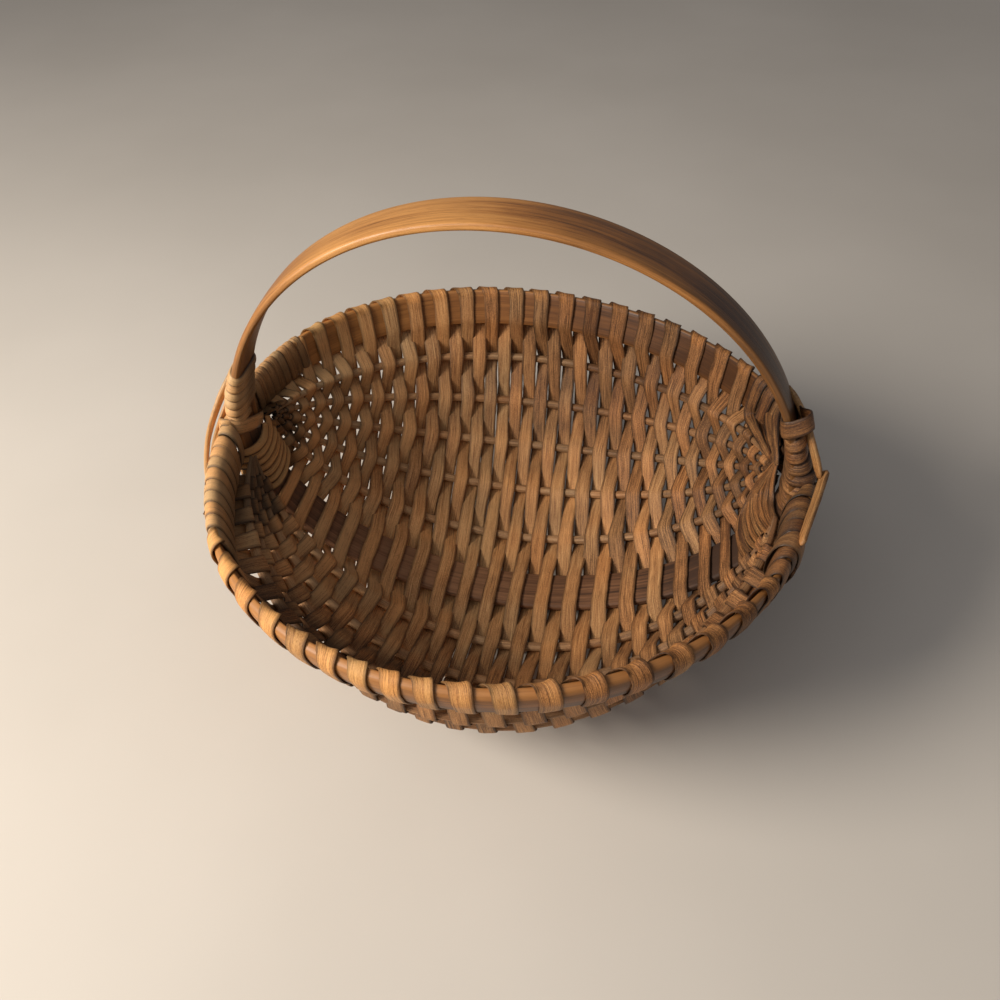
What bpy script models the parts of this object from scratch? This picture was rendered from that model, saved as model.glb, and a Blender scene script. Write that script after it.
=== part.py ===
# Woven splint gathering basket with one fixed hoop handle and two shallow cheeks.
# Metres, +Z up. The basket lies with its ears on the X axis, its long row ends on +Y and -Y.
# Origin: middle of the underside of the bounding box.
import math

import bmesh
import bpy
from mathutils import Vector

MM = 0.001

# ---- placing -----------------------------------------------------------------------------------
RIM_TOP_Z = 109.7595       # height of the rim's top edge at the ears above the resting plane
SHIFT_X = 3.005
SHIFT_Y = 6.797

# ---- handle hoop (one closed hoop: handle above, middle band below) -------------------------------
HOOP_X0 = -1.44           # sideways offset of the hoop
HOOP_HALF = 126.25        # half width, inner face
HOOP_UP = 117.3           # rise of the inner face above its centre
HOOP_DOWN = 94.5          # drop of the inner face below its centre
HOOP_Z0 = -9.9            # hoop centre against the rim's top
HOOP_LEAN = -3.3          # sideways shift of the apex
HOOP_W = 22.8             # band width
HOOP_T = 4.3              # band thickness

# ---- rim hoop -----------------------------------------------------------------------------------
RIM_HALF = 134.4          # half width at the ears, middle of the band
RIM_BACK = 126.0          # half depth at the back
RIM_FRONT = 139.2         # half depth at the front
RIM_SKEW_BACK = -11.3     # sideways shift of the back's furthest point
RIM_SKEW_FRONT = -2.7
RIM_SAG_BACK = -4.0       # height of the top edge at the back against the ears
RIM_SAG_FRONT = -0.8
RIM_H = 19.0              # band height
RIM_T_EAR = 2.8           # thickness where it passes the handle
RIM_T_MID = 4.6           # thickness at the front and back
FLARE_BACK = 0.32         # outward lean of the band, radians
FLARE_FRONT = 0.38

# ---- ribs ---------------------------------------------------------------------------------------
RIB_HALF = 122.0          # half length, ear to ear
RIB_EAR_Y = 13.0          # where the rib ends gather beside the hoop
RIB_EAR_Z = -14.5
RIB_POWER = 1.2           # how fast the ribs close in on the ear
RIB_R = 2.25              # rib radius at mid length
RIB_R_TIP = 1.35          # rib radius at the tips
# mid-length place of each rib: (depth from the middle, height, sideways shift)
RIBS_BACK = ((122.0, -44.0, -9.0), (108.0, -65.0, -7.0), (89.0, -81.0, -5.0), (65.0, -94.0, -5.0), (38.0, -105.5, -4.0))
RIBS_FRONT = ((127.0, -43.0, -2.0), (113.0, -65.0, -1.0), (94.0, -82.0, 0.0), (69.0, -95.0, 1.0), (38.0, -105.5, 2.0))

# ---- weavers ------------------------------------------------------------------------------------
ROWS = 47                 # rows of weaving, ear to ear
ROW_STEP = 0.0574         # row pitch as an angle along every rib
ROWS_PER_WEAVER = 3
WEAVER_W = 6.2
WEAVER_T = 1.0
WEAVER_FILL = 0.86        # width of a weaver against its lane
GAP = 0.42                # clearance between a weaver and the ribs or band it passes
RIM_GAP = 1.02            # clearance between a weaver and the rim
BUTT = 2.4                # gap where one weaver ends and the next begins

# ---- lashings and strips at the ears ----------------------------------------------------------------
LASH_T = 1.0
LASH_W = 3.6
LASH_PITCH = 4.3
BIND_W = 3.0
BIND_PITCH = 3.2
TIE_W = 5.0
STRIP_T = 1.6
STRIP_H = 11.0

MID = (ROWS - 1) // 2


def s_of(k):
    """Angle along a rib, rim or hoop of lane k (may be fractional)."""
    return math.pi / 2 + (k - MID) * ROW_STEP


# Bends fall between lanes, so each weaver lies on a straight part.
KNOTS = [s_of(k) for k in [2.5] + [3.5 + 3 * i for i in range(14)] + [43.5]]


def lerp(a, b, t):
    return a + (b - a) * t


def on_knots(knots, values, s):
    """Point of a polyline through values at parameter s."""
    i = 0
    while i < len(knots) - 2 and s > knots[i + 1]:
        i += 1
    t = (s - knots[i]) / (knots[i + 1] - knots[i])
    return values[i].lerp(values[i + 1], t)


# ---- rim ----------------------------------------------------------------------------------------
RIM_KNOTS_HALF = [0.0, 0.11, 0.222] + KNOTS + [math.pi - 0.222, math.pi - 0.11, math.pi]


def rim_curve(s, front):
    b = RIM_FRONT if front else RIM_BACK
    skew = RIM_SKEW_FRONT if front else RIM_SKEW_BACK
    sag = RIM_SAG_FRONT if front else RIM_SAG_BACK
    sn = max(math.sin(s), 0.0)
    y = b * sn
    return Vector((RIM_HALF * math.cos(s) + skew * sn ** 1.5, -y if front else y, sag * sn * sn))


def rim_normal(s, front):
    e = 1e-3
    a = rim_curve(max(s - e, 0.0), front)
    c = rim_curve(min(s + e, math.pi), front)
    t = c - a
    n = Vector((t.y, -t.x, 0.0))
    if s <= 0.0 or s >= math.pi:
        n = Vector((math.cos(s), 0.0, 0.0))
    if n.dot(Vector((math.cos(s), (-1.0 if front else 1.0) * math.sin(s), 0.0))) < 0.0:
        n = -n
    return n.normalized()


def rim_frame(s, front):
    """Top middle of the band, its outward direction and its downward direction."""
    flare = (FLARE_FRONT if front else FLARE_BACK) * max(math.sin(s), 0.0)
    n = rim_normal(s, front)
    out = n * math.cos(flare) + Vector((0.0, 0.0, -math.sin(flare)))
    down = n * -math.sin(flare) + Vector((0.0, 0.0, -math.cos(flare)))
    top = rim_curve(s, front) + n * (RIM_H / 2 * math.sin(flare))
    return top, out, down


def rim_t(s):
    return lerp(RIM_T_EAR, RIM_T_MID, max(math.sin(s), 0.0) ** 1.5)


# ---- hoop ---------------------------------------------------------------------------------------
LEG = 0.5 * KNOTS[0]


def hoop_curve(a):
    """Inner face of the hoop; a runs from 0 (right ear) over the top to pi, and on round the underside."""
    c, sn = math.cos(a), math.sin(a)
    rise = HOOP_UP if sn >= 0 else HOOP_DOWN
    lean = HOOP_LEAN if sn >= 0 else 0.0
    return Vector((HOOP_X0 + HOOP_HALF * c + lean * abs(sn) ** 1.5, 0.0, HOOP_Z0 + rise * sn))


def hoop_normal(a):
    e = 1e-3
    t = hoop_curve(a + e) - hoop_curve(a - e)
    return Vector((t.z, 0.0, -t.x)).normalized()


TOP_SEGMENTS = 27         # odd, so that the topmost facet is level
HOOP_ANGLES = (
    [i * math.pi / TOP_SEGMENTS for i in range(1, TOP_SEGMENTS)]
    + [math.pi, math.pi + LEG]
    + [math.pi + k for k in KNOTS]
    + [2 * math.pi - LEG, 2 * math.pi]
)


def hoop_point(a, n, y):
    """A point n outward of the inner face and y across, on the straight-sided hoop."""
    a = a % (2 * math.pi)
    knots = [0.0] + HOOP_ANGLES
    values = []
    for k in knots:
        p = hoop_curve(k) + hoop_normal(k) * n
        values.append(p + Vector((0.0, y, 0.0)))
    return on_knots(knots, values, a)


# ---- ribs ---------------------------------------------------------------------------------------
def rib_curve(i, front, s):
    y, z, skew = (RIBS_FRONT if front else RIBS_BACK)[i]
    sn = max(math.sin(s), 0.0)
    q = sn ** RIB_POWER
    yy = RIB_EAR_Y + (y - RIB_EAR_Y) * q
    zz = RIB_EAR_Z + (z - RIB_EAR_Z) * q
    return Vector((RIB_HALF * math.cos(s) + skew * sn ** 1.5, -yy if front else yy, zz))


def rib_radius(s):
    q = min(1.0, max(0.0, (math.sin(s) - math.sin(KNOTS[0])) / 0.35))
    return lerp(RIB_R_TIP, RIB_R, q)


def rib_point(i, front, s):
    if s < KNOTS[0] or s > KNOTS[-1]:
        return rib_curve(i, front, s)
    return on_knots(KNOTS, [rib_curve(i, front, k) for k in KNOTS], s)


# ---- weaving path -------------------------------------------------------------------------------
def tangent(f, s):
    e = ROW_STEP / 3
    return (f(s + e) - f(s - e)).normalized()


def lane(f, s):
    e = ROW_STEP / 3
    return (f(s + e) - f(s - e)).length / (2 * e) * ROW_STEP * WEAVER_FILL


def rim_face(s, front, side, u, v):
    """A point u outward of the band's outer (side 1) or inner (side -1) face and v below its top."""
    values = []
    for k in RIM_KNOTS_HALF:
        top, out, down = rim_frame(k, front)
        values.append(top + out * (side * rim_t(k) / 2 + u) + down * v)
    return on_knots(RIM_KNOTS_HALF, values, s)


def to_segment(p, a, b):
    d = b - a
    t = min(1.0, max(0.0, (p - a).dot(d) / max(d.length_squared, 1e-12)))
    return (a + d * t - p).length


def crossings(k):
    """Stations of row k from the back rim to the front rim, as (centre, sideways direction, width)."""
    s = s_of(k)
    inside = k % 2 == 0
    off = GAP + WEAVER_T / 2
    rim_off = RIM_GAP + WEAVER_T / 2
    has_rib = KNOTS[0] < s < KNOTS[-1]
    edge = HOOP_W / 2
    plan = []                                     # [function of s, rib centre or None, outward, sign, height, reach]

    def fixed(f):
        plan.append([f, None, None, 0.0, 0.0, 0.0])

    def rim_end(front):
        if inside:
            return [lambda q: rim_face(q, front, -1, -rim_off, RIM_H - 0.4)]
        pts = [lambda q: rim_face(q, front, 1, rim_off, RIM_H - 0.5)]
        top, out, down = rim_frame(s, front)
        drop = (rib_point(0, front, s) - top).dot(down) - RIM_H
        if drop < 12.0:
            pts.append(lambda q: rim_face(q, front, 1, -0.5, RIM_H + rim_off))
        if drop < 6.0:
            pts.append(lambda q: rim_face(q, front, -1, 0.3, RIM_H + rim_off))
        return pts

    for f in rim_end(False):
        fixed(f)
    seq = [(i, False) for i in range(5)] + [None] + [(i, True) for i in (4, 3, 2, 1, 0)]
    middle = Vector((HOOP_X0, 0.0, -5.0))
    for e in seq:
        if e is None:
            if inside:
                for y in (edge - 0.4, -(edge - 0.4)):
                    fixed(lambda q, y=y: hoop_point(-q, -off, y))
            elif k < 14 or k > ROWS - 15:
                fixed(lambda q: hoop_point(-q, 3.4, edge + 1.25))
                fixed(lambda q: hoop_point(-q, HOOP_T + off + 0.1, edge - 0.5))
                fixed(lambda q: hoop_point(-q, HOOP_T + off + 0.1, 0.5 - edge))
                fixed(lambda q: hoop_point(-q, 3.4, -edge - 1.25))
            else:
                for y in (edge - 0.4, -(edge - 0.4)):
                    fixed(lambda q, y=y: hoop_point(-q, HOOP_T + off, y))
            continue
        i, front = e
        f = lambda q, i=i, front=front: rib_point(i, front, q)
        if not has_rib:
            fixed(f)
            continue
        c = f(s)
        before = rim_face(s, front, -1, 1.4, RIM_H) if i == 0 else rib_point(i - 1, front, s)
        after = hoop_point(-s, HOOP_T / 2, -edge if front else edge) if i == 4 else rib_point(i + 1, front, s)
        n = tangent(f, s).cross((after - c).normalized() + (c - before).normalized()).normalized()
        if n.dot(c - middle) < 0.0:
            n = -n
        sign = 1.0 if (i + (0 if inside else 1)) % 2 == 0 else -1.0
        reach = rib_radius(s) + off + ((0.5 if i == 0 else 0.22) if k < 8 or k > ROWS - 9 else 0.06)
        plan.append([f, c, n, sign, reach, reach])
    for f in reversed(rim_end(True)):
        fixed(f)

    # lift each crossing until the straight runs either side clear the rib
    for _ in range(12):
        at = [f(s) if c is None else c + n * (sign * h) for f, c, n, sign, h, r in plan]
        for j, e in enumerate(plan):
            if e[1] is None:
                continue
            d = min(to_segment(e[1], at[j - 1], at[j]), to_segment(e[1], at[j], at[j + 1]))
            if d < e[5]:
                e[4] = min(e[4] + (e[5] - d) * 1.15, 5.0)
    at = [f(s) if c is None else c + n * (sign * h) for f, c, n, sign, h, r in plan]
    narrow = 0.92 if k < 9 or k > ROWS - 10 else 1.0
    return [(p, tangent(e[0], s), min(WEAVER_W, lane(e[0], s)) * narrow) for p, e in zip(at, plan)]


def loop(k, front):
    """Stations carrying the weaver over the rim from row k to row k + 1."""
    start_in = k % 2 == 0
    off = RIM_GAP + WEAVER_T / 2
    side = -1.0 if start_in else 1.0
    steps = (
        (side * off, 0.5, 0.3),
        (side * -0.5, -off, 0.42),
        (-side * -0.5, -off, 0.58),
        (-side * off, 0.5, 0.7),
    )
    out = []
    for n, (u, v, share) in enumerate(steps):
        face = side if n < 2 else -side
        s = s_of(k + share)
        f = lambda q, u=u, v=v, face=face: rim_face(q, front, face, u, v)
        out.append((f(s), tangent(f, s), min(WEAVER_W, lane(f, s))))
    return out


def weaver_paths():
    """The one long path of all rows, cut into weavers just after it has come over a rim."""
    weavers = []
    current = []
    for k in range(ROWS):
        front_to_back = k % 2 == 0
        row = crossings(k)
        if front_to_back:
            row.reverse()
        if k == 0:
            current = []
        elif k % ROWS_PER_WEAVER == 0 and ROWS - k > 1:
            # the old weaver ends at the rim's lower edge, the new one begins a butt gap further on
            current.append(row[0])
            weavers.append(current)
            left = BUTT
            while (row[1][0] - row[0][0]).length <= left + 0.4:
                left -= (row[1][0] - row[0][0]).length
                row = row[1:]
            d = row[1][0] - row[0][0]
            row = [(row[0][0] + d * (max(left, 0.0) / d.length), row[0][1], row[0][2])] + row[1:]
            current = []
        current += row
        if k < ROWS - 1:
            current += loop(k, not front_to_back)
    weavers.append(current)
    return weavers


# ---- making -------------------------------------------------------------------------------------
def clear_scene():
    for ob in list(bpy.data.objects):
        bpy.data.objects.remove(ob, do_unlink=True)
    for c in list(bpy.data.collections):
        bpy.data.collections.remove(c)


def material(name, colour, rough):
    m = bpy.data.materials.new(name)
    m.use_nodes = True
    b = next(n for n in m.node_tree.nodes if n.type == "BSDF_PRINCIPLED")
    b.inputs["Base Color"].default_value = (*colour, 1.0)
    b.inputs["Roughness"].default_value = rough
    b.inputs["Metallic"].default_value = 0.0
    m.diffuse_color = (*colour, 1.0)
    return m


def place(p):
    return Vector(((p.x + SHIFT_X) * MM, (p.y + SHIFT_Y) * MM, (p.z + RIM_TOP_Z) * MM))


def finish(ob, coll, colour, rough, smooth=False):
    ob.data.materials.clear()
    ob.data.materials.append(material("mat_" + ob.name, colour, rough))
    if smooth and ob.type == "MESH":
        for p in ob.data.polygons:
            p.use_smooth = True
    coll.objects.link(ob)
    return ob


def hoop_body(name, section, closed_frames, coll, colour, rough):
    """A torus primitive carried onto a list of section rings."""
    n, m = len(closed_frames), len(section)
    bm = bmesh.new()
    rings = []
    bpy.ops.mesh.primitive_torus_add(major_segments=n, minor_segments=m, major_radius=1.0, minor_radius=0.25)
    tmp = bpy.context.object
    mesh = tmp.data
    for v in mesh.vertices:
        a = math.atan2(v.co.y, v.co.x) % (2 * math.pi)
        i = int(round(a / (2 * math.pi) * n)) % n
        r = math.hypot(v.co.x, v.co.y) - 1.0
        b = math.atan2(v.co.z, r) % (2 * math.pi)
        j = int(round(b / (2 * math.pi) * m)) % m
        v.co = place(closed_frames[i](*section[j]))
    bm.from_mesh(mesh)
    bmesh.ops.recalc_face_normals(bm, faces=bm.faces)
    bm.to_mesh(mesh)
    bm.free()
    mesh.name = name
    for c in list(tmp.users_collection):
        c.objects.unlink(tmp)
    tmp.name = name
    return finish(tmp, coll, colour, rough)


def ribbon_body(name, stations, thickness, coll, colour, rough, cyclic=False):
    """A grid primitive laid along stations, then given its thickness."""
    n = len(stations)
    bm = bmesh.new()
    bmesh.ops.create_grid(bm, x_segments=n - 1, y_segments=1, size=1.0)
    for v in bm.verts:
        i = int(round((v.co.x + 1.0) / 2.0 * (n - 1)))
        p, side, w = stations[i]
        v.co = place(p + side * (w / 2 * (1.0 if v.co.y > 0 else -1.0)))
    mesh = bpy.data.meshes.new(name)
    bm.to_mesh(mesh)
    bm.free()
    ob = bpy.data.objects.new(name, mesh)
    sol = ob.modifiers.new("thickness", "SOLIDIFY")
    sol.thickness = thickness * MM
    sol.offset = 0.0
    sol.use_even_offset = True
    sol.use_rim = True
    if cyclic:
        weld = ob.modifiers.new("join", "WELD")
        weld.merge_threshold = 0.00001
    return finish(ob, coll, colour, rough)


def rib_body(name, i, front, coll, colour):
    cu = bpy.data.curves.new(name, "CURVE")
    cu.dimensions = "3D"
    sp = cu.splines.new("POLY")
    sp.points.add(len(KNOTS) - 1)
    for p, s in zip(sp.points, KNOTS):
        p.co = (*place(rib_curve(i, front, s)), 1.0)
        p.radius = rib_radius(s) / RIB_R
    cu.bevel_depth = RIB_R * MM
    cu.bevel_resolution = 2
    cu.use_fill_caps = True
    ob = bpy.data.objects.new(name, cu)
    return finish(ob, coll, colour, 0.6)


def octagon(t, w, c):
    """Bevelled band section as (outward, across) pairs, starting on the outer face."""
    a, b = t / 2, w / 2
    return [(a, -b + c), (a, b - c), (a - c, b), (-a + c, b), (-a, b - c), (-a, -b + c), (-a + c, -b), (a - c, -b)]


def build():
    clear_scene()
    coll = bpy.data.collections.new("woven_splint_basket")
    bpy.context.scene.collection.children.link(coll)

    oak_dark = (0.33, 0.17, 0.07)
    oak_rib = (0.42, 0.29, 0.17)
    splint = (0.45, 0.28, 0.14)

    # handle hoop
    angles = [0.0] + HOOP_ANGLES[:-1]
    frames = [lambda n, y, a=a: hoop_curve(a) + hoop_normal(a) * (HOOP_T / 2 + n) + Vector((0.0, y, 0.0)) for a in angles]
    hoop_body("handle_hoop", octagon(HOOP_T, HOOP_W, 0.8), frames, coll, oak_dark, 0.45)

    # rim hoop
    stops = [(k, False) for k in RIM_KNOTS_HALF] + [(k, True) for k in reversed(RIM_KNOTS_HALF[1:-1])]

    def rim_ring(s, front):
        top, out, down = rim_frame(s, front)
        t = rim_t(s)
        return lambda n, y: top + out * (n * t / RIM_T_MID) + down * (RIM_H / 2 + y)

    hoop_body("rim_hoop", octagon(RIM_T_MID, RIM_H, 0.8), [rim_ring(*st) for st in stops], coll, oak_dark, 0.5)

    # ribs
    for i in range(5):
        rib_body("rib_back_%d" % (i + 1), i, False, coll, oak_rib)
        rib_body("rib_front_%d" % (i + 1), i, True, coll, oak_rib)

    # weavers
    for n, path in enumerate(weaver_paths()):
        shade = 1.0 + 0.06 * ((n * 5) % 7 - 3) / 3
        ribbon_body("weaver_%02d" % (n + 1), path, WEAVER_T, coll, tuple(c * shade for c in splint), 0.65)

    # lashing round each leg of the handle
    off = GAP + 0.1 + LASH_T / 2
    for side, name, turns in ((1, "right", 5), (-1, "left", 5)):
        path = []
        corners = ((-off, HOOP_W / 2 - 0.4), (0.5, HOOP_W / 2 + off), (HOOP_T - 0.5, HOOP_W / 2 + off), (HOOP_T + off, HOOP_W / 2 - 0.4))
        ring = list(corners) + [(n, -y) for n, y in reversed(corners)]
        z_low = 11.5
        total = turns * len(ring)
        for j in range(total + 1):
            n, y = ring[j % len(ring)]
            z = z_low + LASH_W / 2 + LASH_PITCH * j / len(ring)
            a = math.asin((z - HOOP_Z0) / HOOP_UP)
            if side < 0:
                a = math.pi - a
            f = lambda q, n=n, y=y: hoop_point(q, n, y)
            p = f(a)
            t = (f(a + 0.02) - f(a - 0.02)).normalized()
            path.append((p, t, LASH_W))
        ribbon_body("handle_lashing_" + name, path, LASH_T, coll, splint, 0.65)

    # binding round the rim either side of each ear
    for side, ear in ((1, "right"), (-1, "left")):
        for front, place_name in ((True, "front"), (False, "back")):
            path = []
            out_by = off + 0.1
            ring = ((1, out_by, RIM_H - 0.4), (1, out_by, 0.4), (1, -0.4, -out_by), (-1, 0.4, -out_by), (-1, -out_by, 0.4), (-1, -out_by, RIM_H - 0.4), (-1, 0.4, RIM_H + out_by), (1, -0.4, RIM_H + out_by))
            turns = 2
            b = RIM_FRONT if front else RIM_BACK
            for j in range(turns * len(ring) + 1):
                sgn, u, v = ring[j % len(ring)]
                y = 18.2 + BIND_W / 2 + BIND_PITCH * j / len(ring)
                s = math.asin(y / b)
                if side < 0:
                    s = math.pi - s
                f = lambda q, sgn=sgn, u=u, v=v, front=front: rim_face(q, front, sgn, u, v)
                path.append((f(s), (f(s + 0.004) - f(s - 0.004)).normalized(), BIND_W))
            ribbon_body("rim_binding_%s_%s" % (ear, place_name), path, LASH_T, coll, splint, 0.65)

    # tie holding rim and hoop together at each ear, laid on the slant
    for side, ear in ((1, "right"), (-1, "left")):
        x_in = abs(HOOP_X0 * side + HOOP_HALF) - 3.0 if side > 0 else HOOP_HALF - HOOP_X0 - 3.0
        x_out = RIM_HALF + RIM_T_EAR / 2 + off + 0.05
        up, low = Vector((0.0, -15.2, 4.0)), Vector((0.0, 15.2, -23.2))
        slant = (up - low).normalized()
        across = slant.cross(Vector((1.0, 0.0, 0.0))).normalized()
        ring = []
        for x, p, inset in ((x_in, up, 2.0), (x_in, low, 2.0), (x_in + 2.0, low, 0.0), (x_out - 2.0, low, 0.0), (x_out, low, 2.0), (x_out, up, 2.0), (x_out - 2.0, up, 0.0), (x_in + 2.0, up, 0.0)):
            q = p - slant * inset if p is up else p + slant * inset
            ring.append(Vector((side * x, q.y, q.z)))
        frames = [lambda n, y, c=c, m=sum(ring, Vector()) / len(ring): c + (c - m).normalized() * n + across * y for c in ring]
        body = hoop_body("ear_tie_" + ear, octagon(1.0, TIE_W, 0.2), frames, coll, splint, 0.65)

    # strips standing outside the rim at the ears
    def strip(name, side, y0, y1, stand, bulge, drop0, drop1):
        path = []
        steps = 8
        for j in range(steps + 1):
            t = j / steps
            y = lerp(y0, y1, t)
            front = y < 0
            b = RIM_FRONT if front else RIM_BACK
            s = math.asin(abs(y) / b)
            if side < 0:
                s = math.pi - s
            c = rim_curve(s, front) + rim_normal(s, front) * (stand + bulge * math.sin(math.pi * t) ** 1.5)
            z = -STRIP_H / 2 + lerp(drop0, drop1, t)
            path.append((Vector((c.x, c.y, z)), Vector((0.0, 0.0, 1.0)), STRIP_H))
        ribbon_body(name, path, STRIP_T, coll, oak_dark, 0.5)

    strip("ear_strip_left", -1, 27.0, -43.0, 5.8, 5.8, 0.0, -1.0)
    strip("ear_strip_right", 1, 45.5, -1.0, 5.4, 0.0, 0.0, 0.0)
    strip("ear_strip_right_end", 1, -5.0, -48.0, 5.4, 0.0, -0.5, -2.5)


build()
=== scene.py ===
import math

import bpy
import numpy as np
from mathutils import Matrix, Vector


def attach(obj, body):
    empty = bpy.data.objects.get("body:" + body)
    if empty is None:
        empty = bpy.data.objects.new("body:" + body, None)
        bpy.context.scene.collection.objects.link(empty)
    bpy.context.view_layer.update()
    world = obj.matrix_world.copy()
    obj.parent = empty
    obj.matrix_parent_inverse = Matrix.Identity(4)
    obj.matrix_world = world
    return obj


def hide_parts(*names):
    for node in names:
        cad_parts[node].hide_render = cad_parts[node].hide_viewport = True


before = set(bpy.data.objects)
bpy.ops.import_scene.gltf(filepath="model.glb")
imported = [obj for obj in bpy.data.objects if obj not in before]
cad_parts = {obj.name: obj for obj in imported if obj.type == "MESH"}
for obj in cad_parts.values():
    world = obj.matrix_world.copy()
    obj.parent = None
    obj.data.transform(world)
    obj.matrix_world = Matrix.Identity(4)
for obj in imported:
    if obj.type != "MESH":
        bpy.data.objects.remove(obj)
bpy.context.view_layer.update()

# ---- the frame's own sizes, in millimetres, with z = 0 at the rim's top edge beside the ears ------
RIM_TOP_Z, SHIFT_X, SHIFT_Y = 109.7595, 3.005, 6.797
HOOP_X0, HOOP_HALF, HOOP_UP, HOOP_DOWN, HOOP_Z0, HOOP_LEAN = -1.44, 126.25, 117.3, 94.5, -9.9, -3.3
HOOP_W, HOOP_T = 22.8, 4.3
RIM_HALF, RIM_BACK, RIM_FRONT = 134.4, 126.0, 139.2
RIM_SKEW = {False: -11.3, True: -2.7}
RIM_SAG = {False: -4.0, True: -0.8}
RIM_H, RIM_T_EAR, RIM_T_MID = 19.0, 2.8, 4.6
RIM_CROWN = 1.5
FLARE = {False: 0.32, True: 0.38}
RIB_HALF, RIB_EAR_Y, RIB_EAR_Z, RIB_POWER = 122.0, 13.0, -14.5, 1.2
RIB_R = 2.4
RIBS = {
    False: ((122.0, -44.0, -9.0), (108.0, -65.0, -7.0), (89.0, -81.0, -5.0), (65.0, -94.0, -5.0), (38.0, -105.5, -4.0)),
    True: ((125.4, -42.2, -2.0), (113.0, -65.0, -1.0), (94.0, -82.0, 0.0), (69.0, -95.0, 1.0), (38.0, -105.5, 2.0)),
}
ROWS, STEP, MID = 47, 0.0574, 23
SPLINT_W, SPLINT_T, LOOP_W = 9.0, 1.05, 9.0
PI = math.pi


def place(p):
    return (np.asarray(p, float) + (SHIFT_X, SHIFT_Y, RIM_TOP_Z)) * 0.001


def unit(v):
    v = np.asarray(v, float)
    return v / np.maximum(np.linalg.norm(v, axis=-1, keepdims=True), 1e-12)


def wander(u, seed, period):
    """A smooth wavering value of about -1 to 1 along u."""
    r = np.random.RandomState(seed)
    u = np.asarray(u, float)
    out = np.zeros_like(u)
    for j in range(4):
        out += r.uniform(0.4, 1.0) / (1 + 0.6 * j) * np.sin(u * (0.55 + 0.7 * j) * r.uniform(0.8, 1.2) * 2 * PI / period + r.uniform(0, 2 * PI))
    return out * 0.62


# ---- curves ------------------------------------------------------------------------------------
def rim_curve(s, front):
    sn = max(math.sin(s), 0.0)
    y = (RIM_FRONT if front else RIM_BACK) * sn
    return np.array((RIM_HALF * math.cos(s) + RIM_SKEW[front] * sn**1.5, -y if front else y, RIM_SAG[front] * sn * sn))


def rim_frame(s, front):
    sn = max(math.sin(s), 0.0)
    flare = FLARE[front] * sn
    if s <= 1e-6 or s >= PI - 1e-6:
        n = np.array((math.cos(s), 0.0, 0.0))
    else:
        e = min(1e-3, s, PI - s)
        t = rim_curve(s + e, front) - rim_curve(s - e, front)
        n = unit((t[1], -t[0], 0.0))
        if n @ (math.cos(s), (-1 if front else 1) * math.sin(s), 0.0) < 0:
            n = -n
    z = np.array((0.0, 0.0, 1.0))
    out = n * math.cos(flare) - z * math.sin(flare)
    down = -n * math.sin(flare) - z * math.cos(flare)
    return rim_curve(s, front) + n * (RIM_H / 2 * math.sin(flare)), out, down


def crown(s):
    return RIM_CROWN * min(1.0, max(0.0, (math.sin(s) - 0.5) / 0.3))


def rim_t(s):
    return RIM_T_EAR + (RIM_T_MID - RIM_T_EAR) * max(math.sin(s), 0.0) ** 1.5


def rim_bulge(s, side, v):
    """How far the rim's face stands from its middle plane, v below its top edge: rounded outside, flat inside."""
    y = min(abs(v - RIM_H / 2) / (RIM_H / 2), 0.999)
    if side > 0:
        return (rim_t(s) / 2 + crown(s)) * (1 - y**2.6) ** (1 / 2.6)
    return rim_t(s) / 2 * (1 - y**6) ** (1 / 6)


def rim_face(s, front, side, u, v):
    """A point u off the rim's outer (1) or inner (-1) face and v below its top edge."""
    s = min(max(s, 0.0), PI)
    top, out, down = rim_frame(s, front)
    return top + out * (side * (rim_bulge(s, side, v) + u)) + down * v


def rim_round(s, front, phi, off):
    """A point off the rim's outline: phi 0 is the outer face, 90 the top edge, 180 the inner face, 270 the lower edge."""
    s = min(max(s, 0.0), PI)
    top, out, down = rim_frame(s, front)
    c, sn = math.cos(math.radians(phi)), math.sin(math.radians(phi))
    n = 2.6 if c >= 0 else 6.0
    a = rim_t(s) / 2 + (crown(s) if c >= 0 else 0.0)
    x = math.copysign(abs(c) ** (2 / n), c) * (a + off)
    y = math.copysign(abs(sn) ** (2 / n), sn) * (RIM_H / 2 + off)
    return top + out * x + down * (RIM_H / 2 - y)


def rim_middle(s, front):
    top, out, down = rim_frame(min(max(s, 0.0), PI), front)
    return top + down * (RIM_H / 2)


def hoop_curve(a):
    c, sn = math.cos(a), math.sin(a)
    return np.array((HOOP_X0 + HOOP_HALF * c + (HOOP_LEAN * abs(sn) ** 1.5 if sn >= 0 else 0.0), 0.0, HOOP_Z0 + (HOOP_UP if sn >= 0 else HOOP_DOWN) * sn))


def hoop_point(a, n, y):
    """A point n outward of the hoop's inner face and y across it."""
    e = 1e-3
    t = hoop_curve(a + e) - hoop_curve(a - e)
    return hoop_curve(a) + unit((t[2], 0.0, -t[0])) * n + (0.0, y, 0.0)


def rib_curve(i, front, s):
    y, z, skew = RIBS[front][i]
    sn = max(math.sin(s), 0.0)
    q = sn**RIB_POWER
    yy = RIB_EAR_Y + (y - RIB_EAR_Y) * q
    return np.array((RIB_HALF * math.cos(s) + skew * sn**1.5, -yy if front else yy, RIB_EAR_Z + (z - RIB_EAR_Z) * q))


def rib_radius(s):
    q = min(1.0, max(0.0, (math.sin(s) - 0.1) / 0.5))
    return 0.75 + (RIB_R - 0.75) * q**0.7


def along(f, s, e=0.02):
    return (f(s + e) - f(s - e)) / (2 * e)


def clamp(q):
    return min(max(q, 0.001), PI - 0.001)


def ease(v):
    v = np.clip(v, 0.0, 1.0)
    return v * v * (3 - 2 * v)


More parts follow.
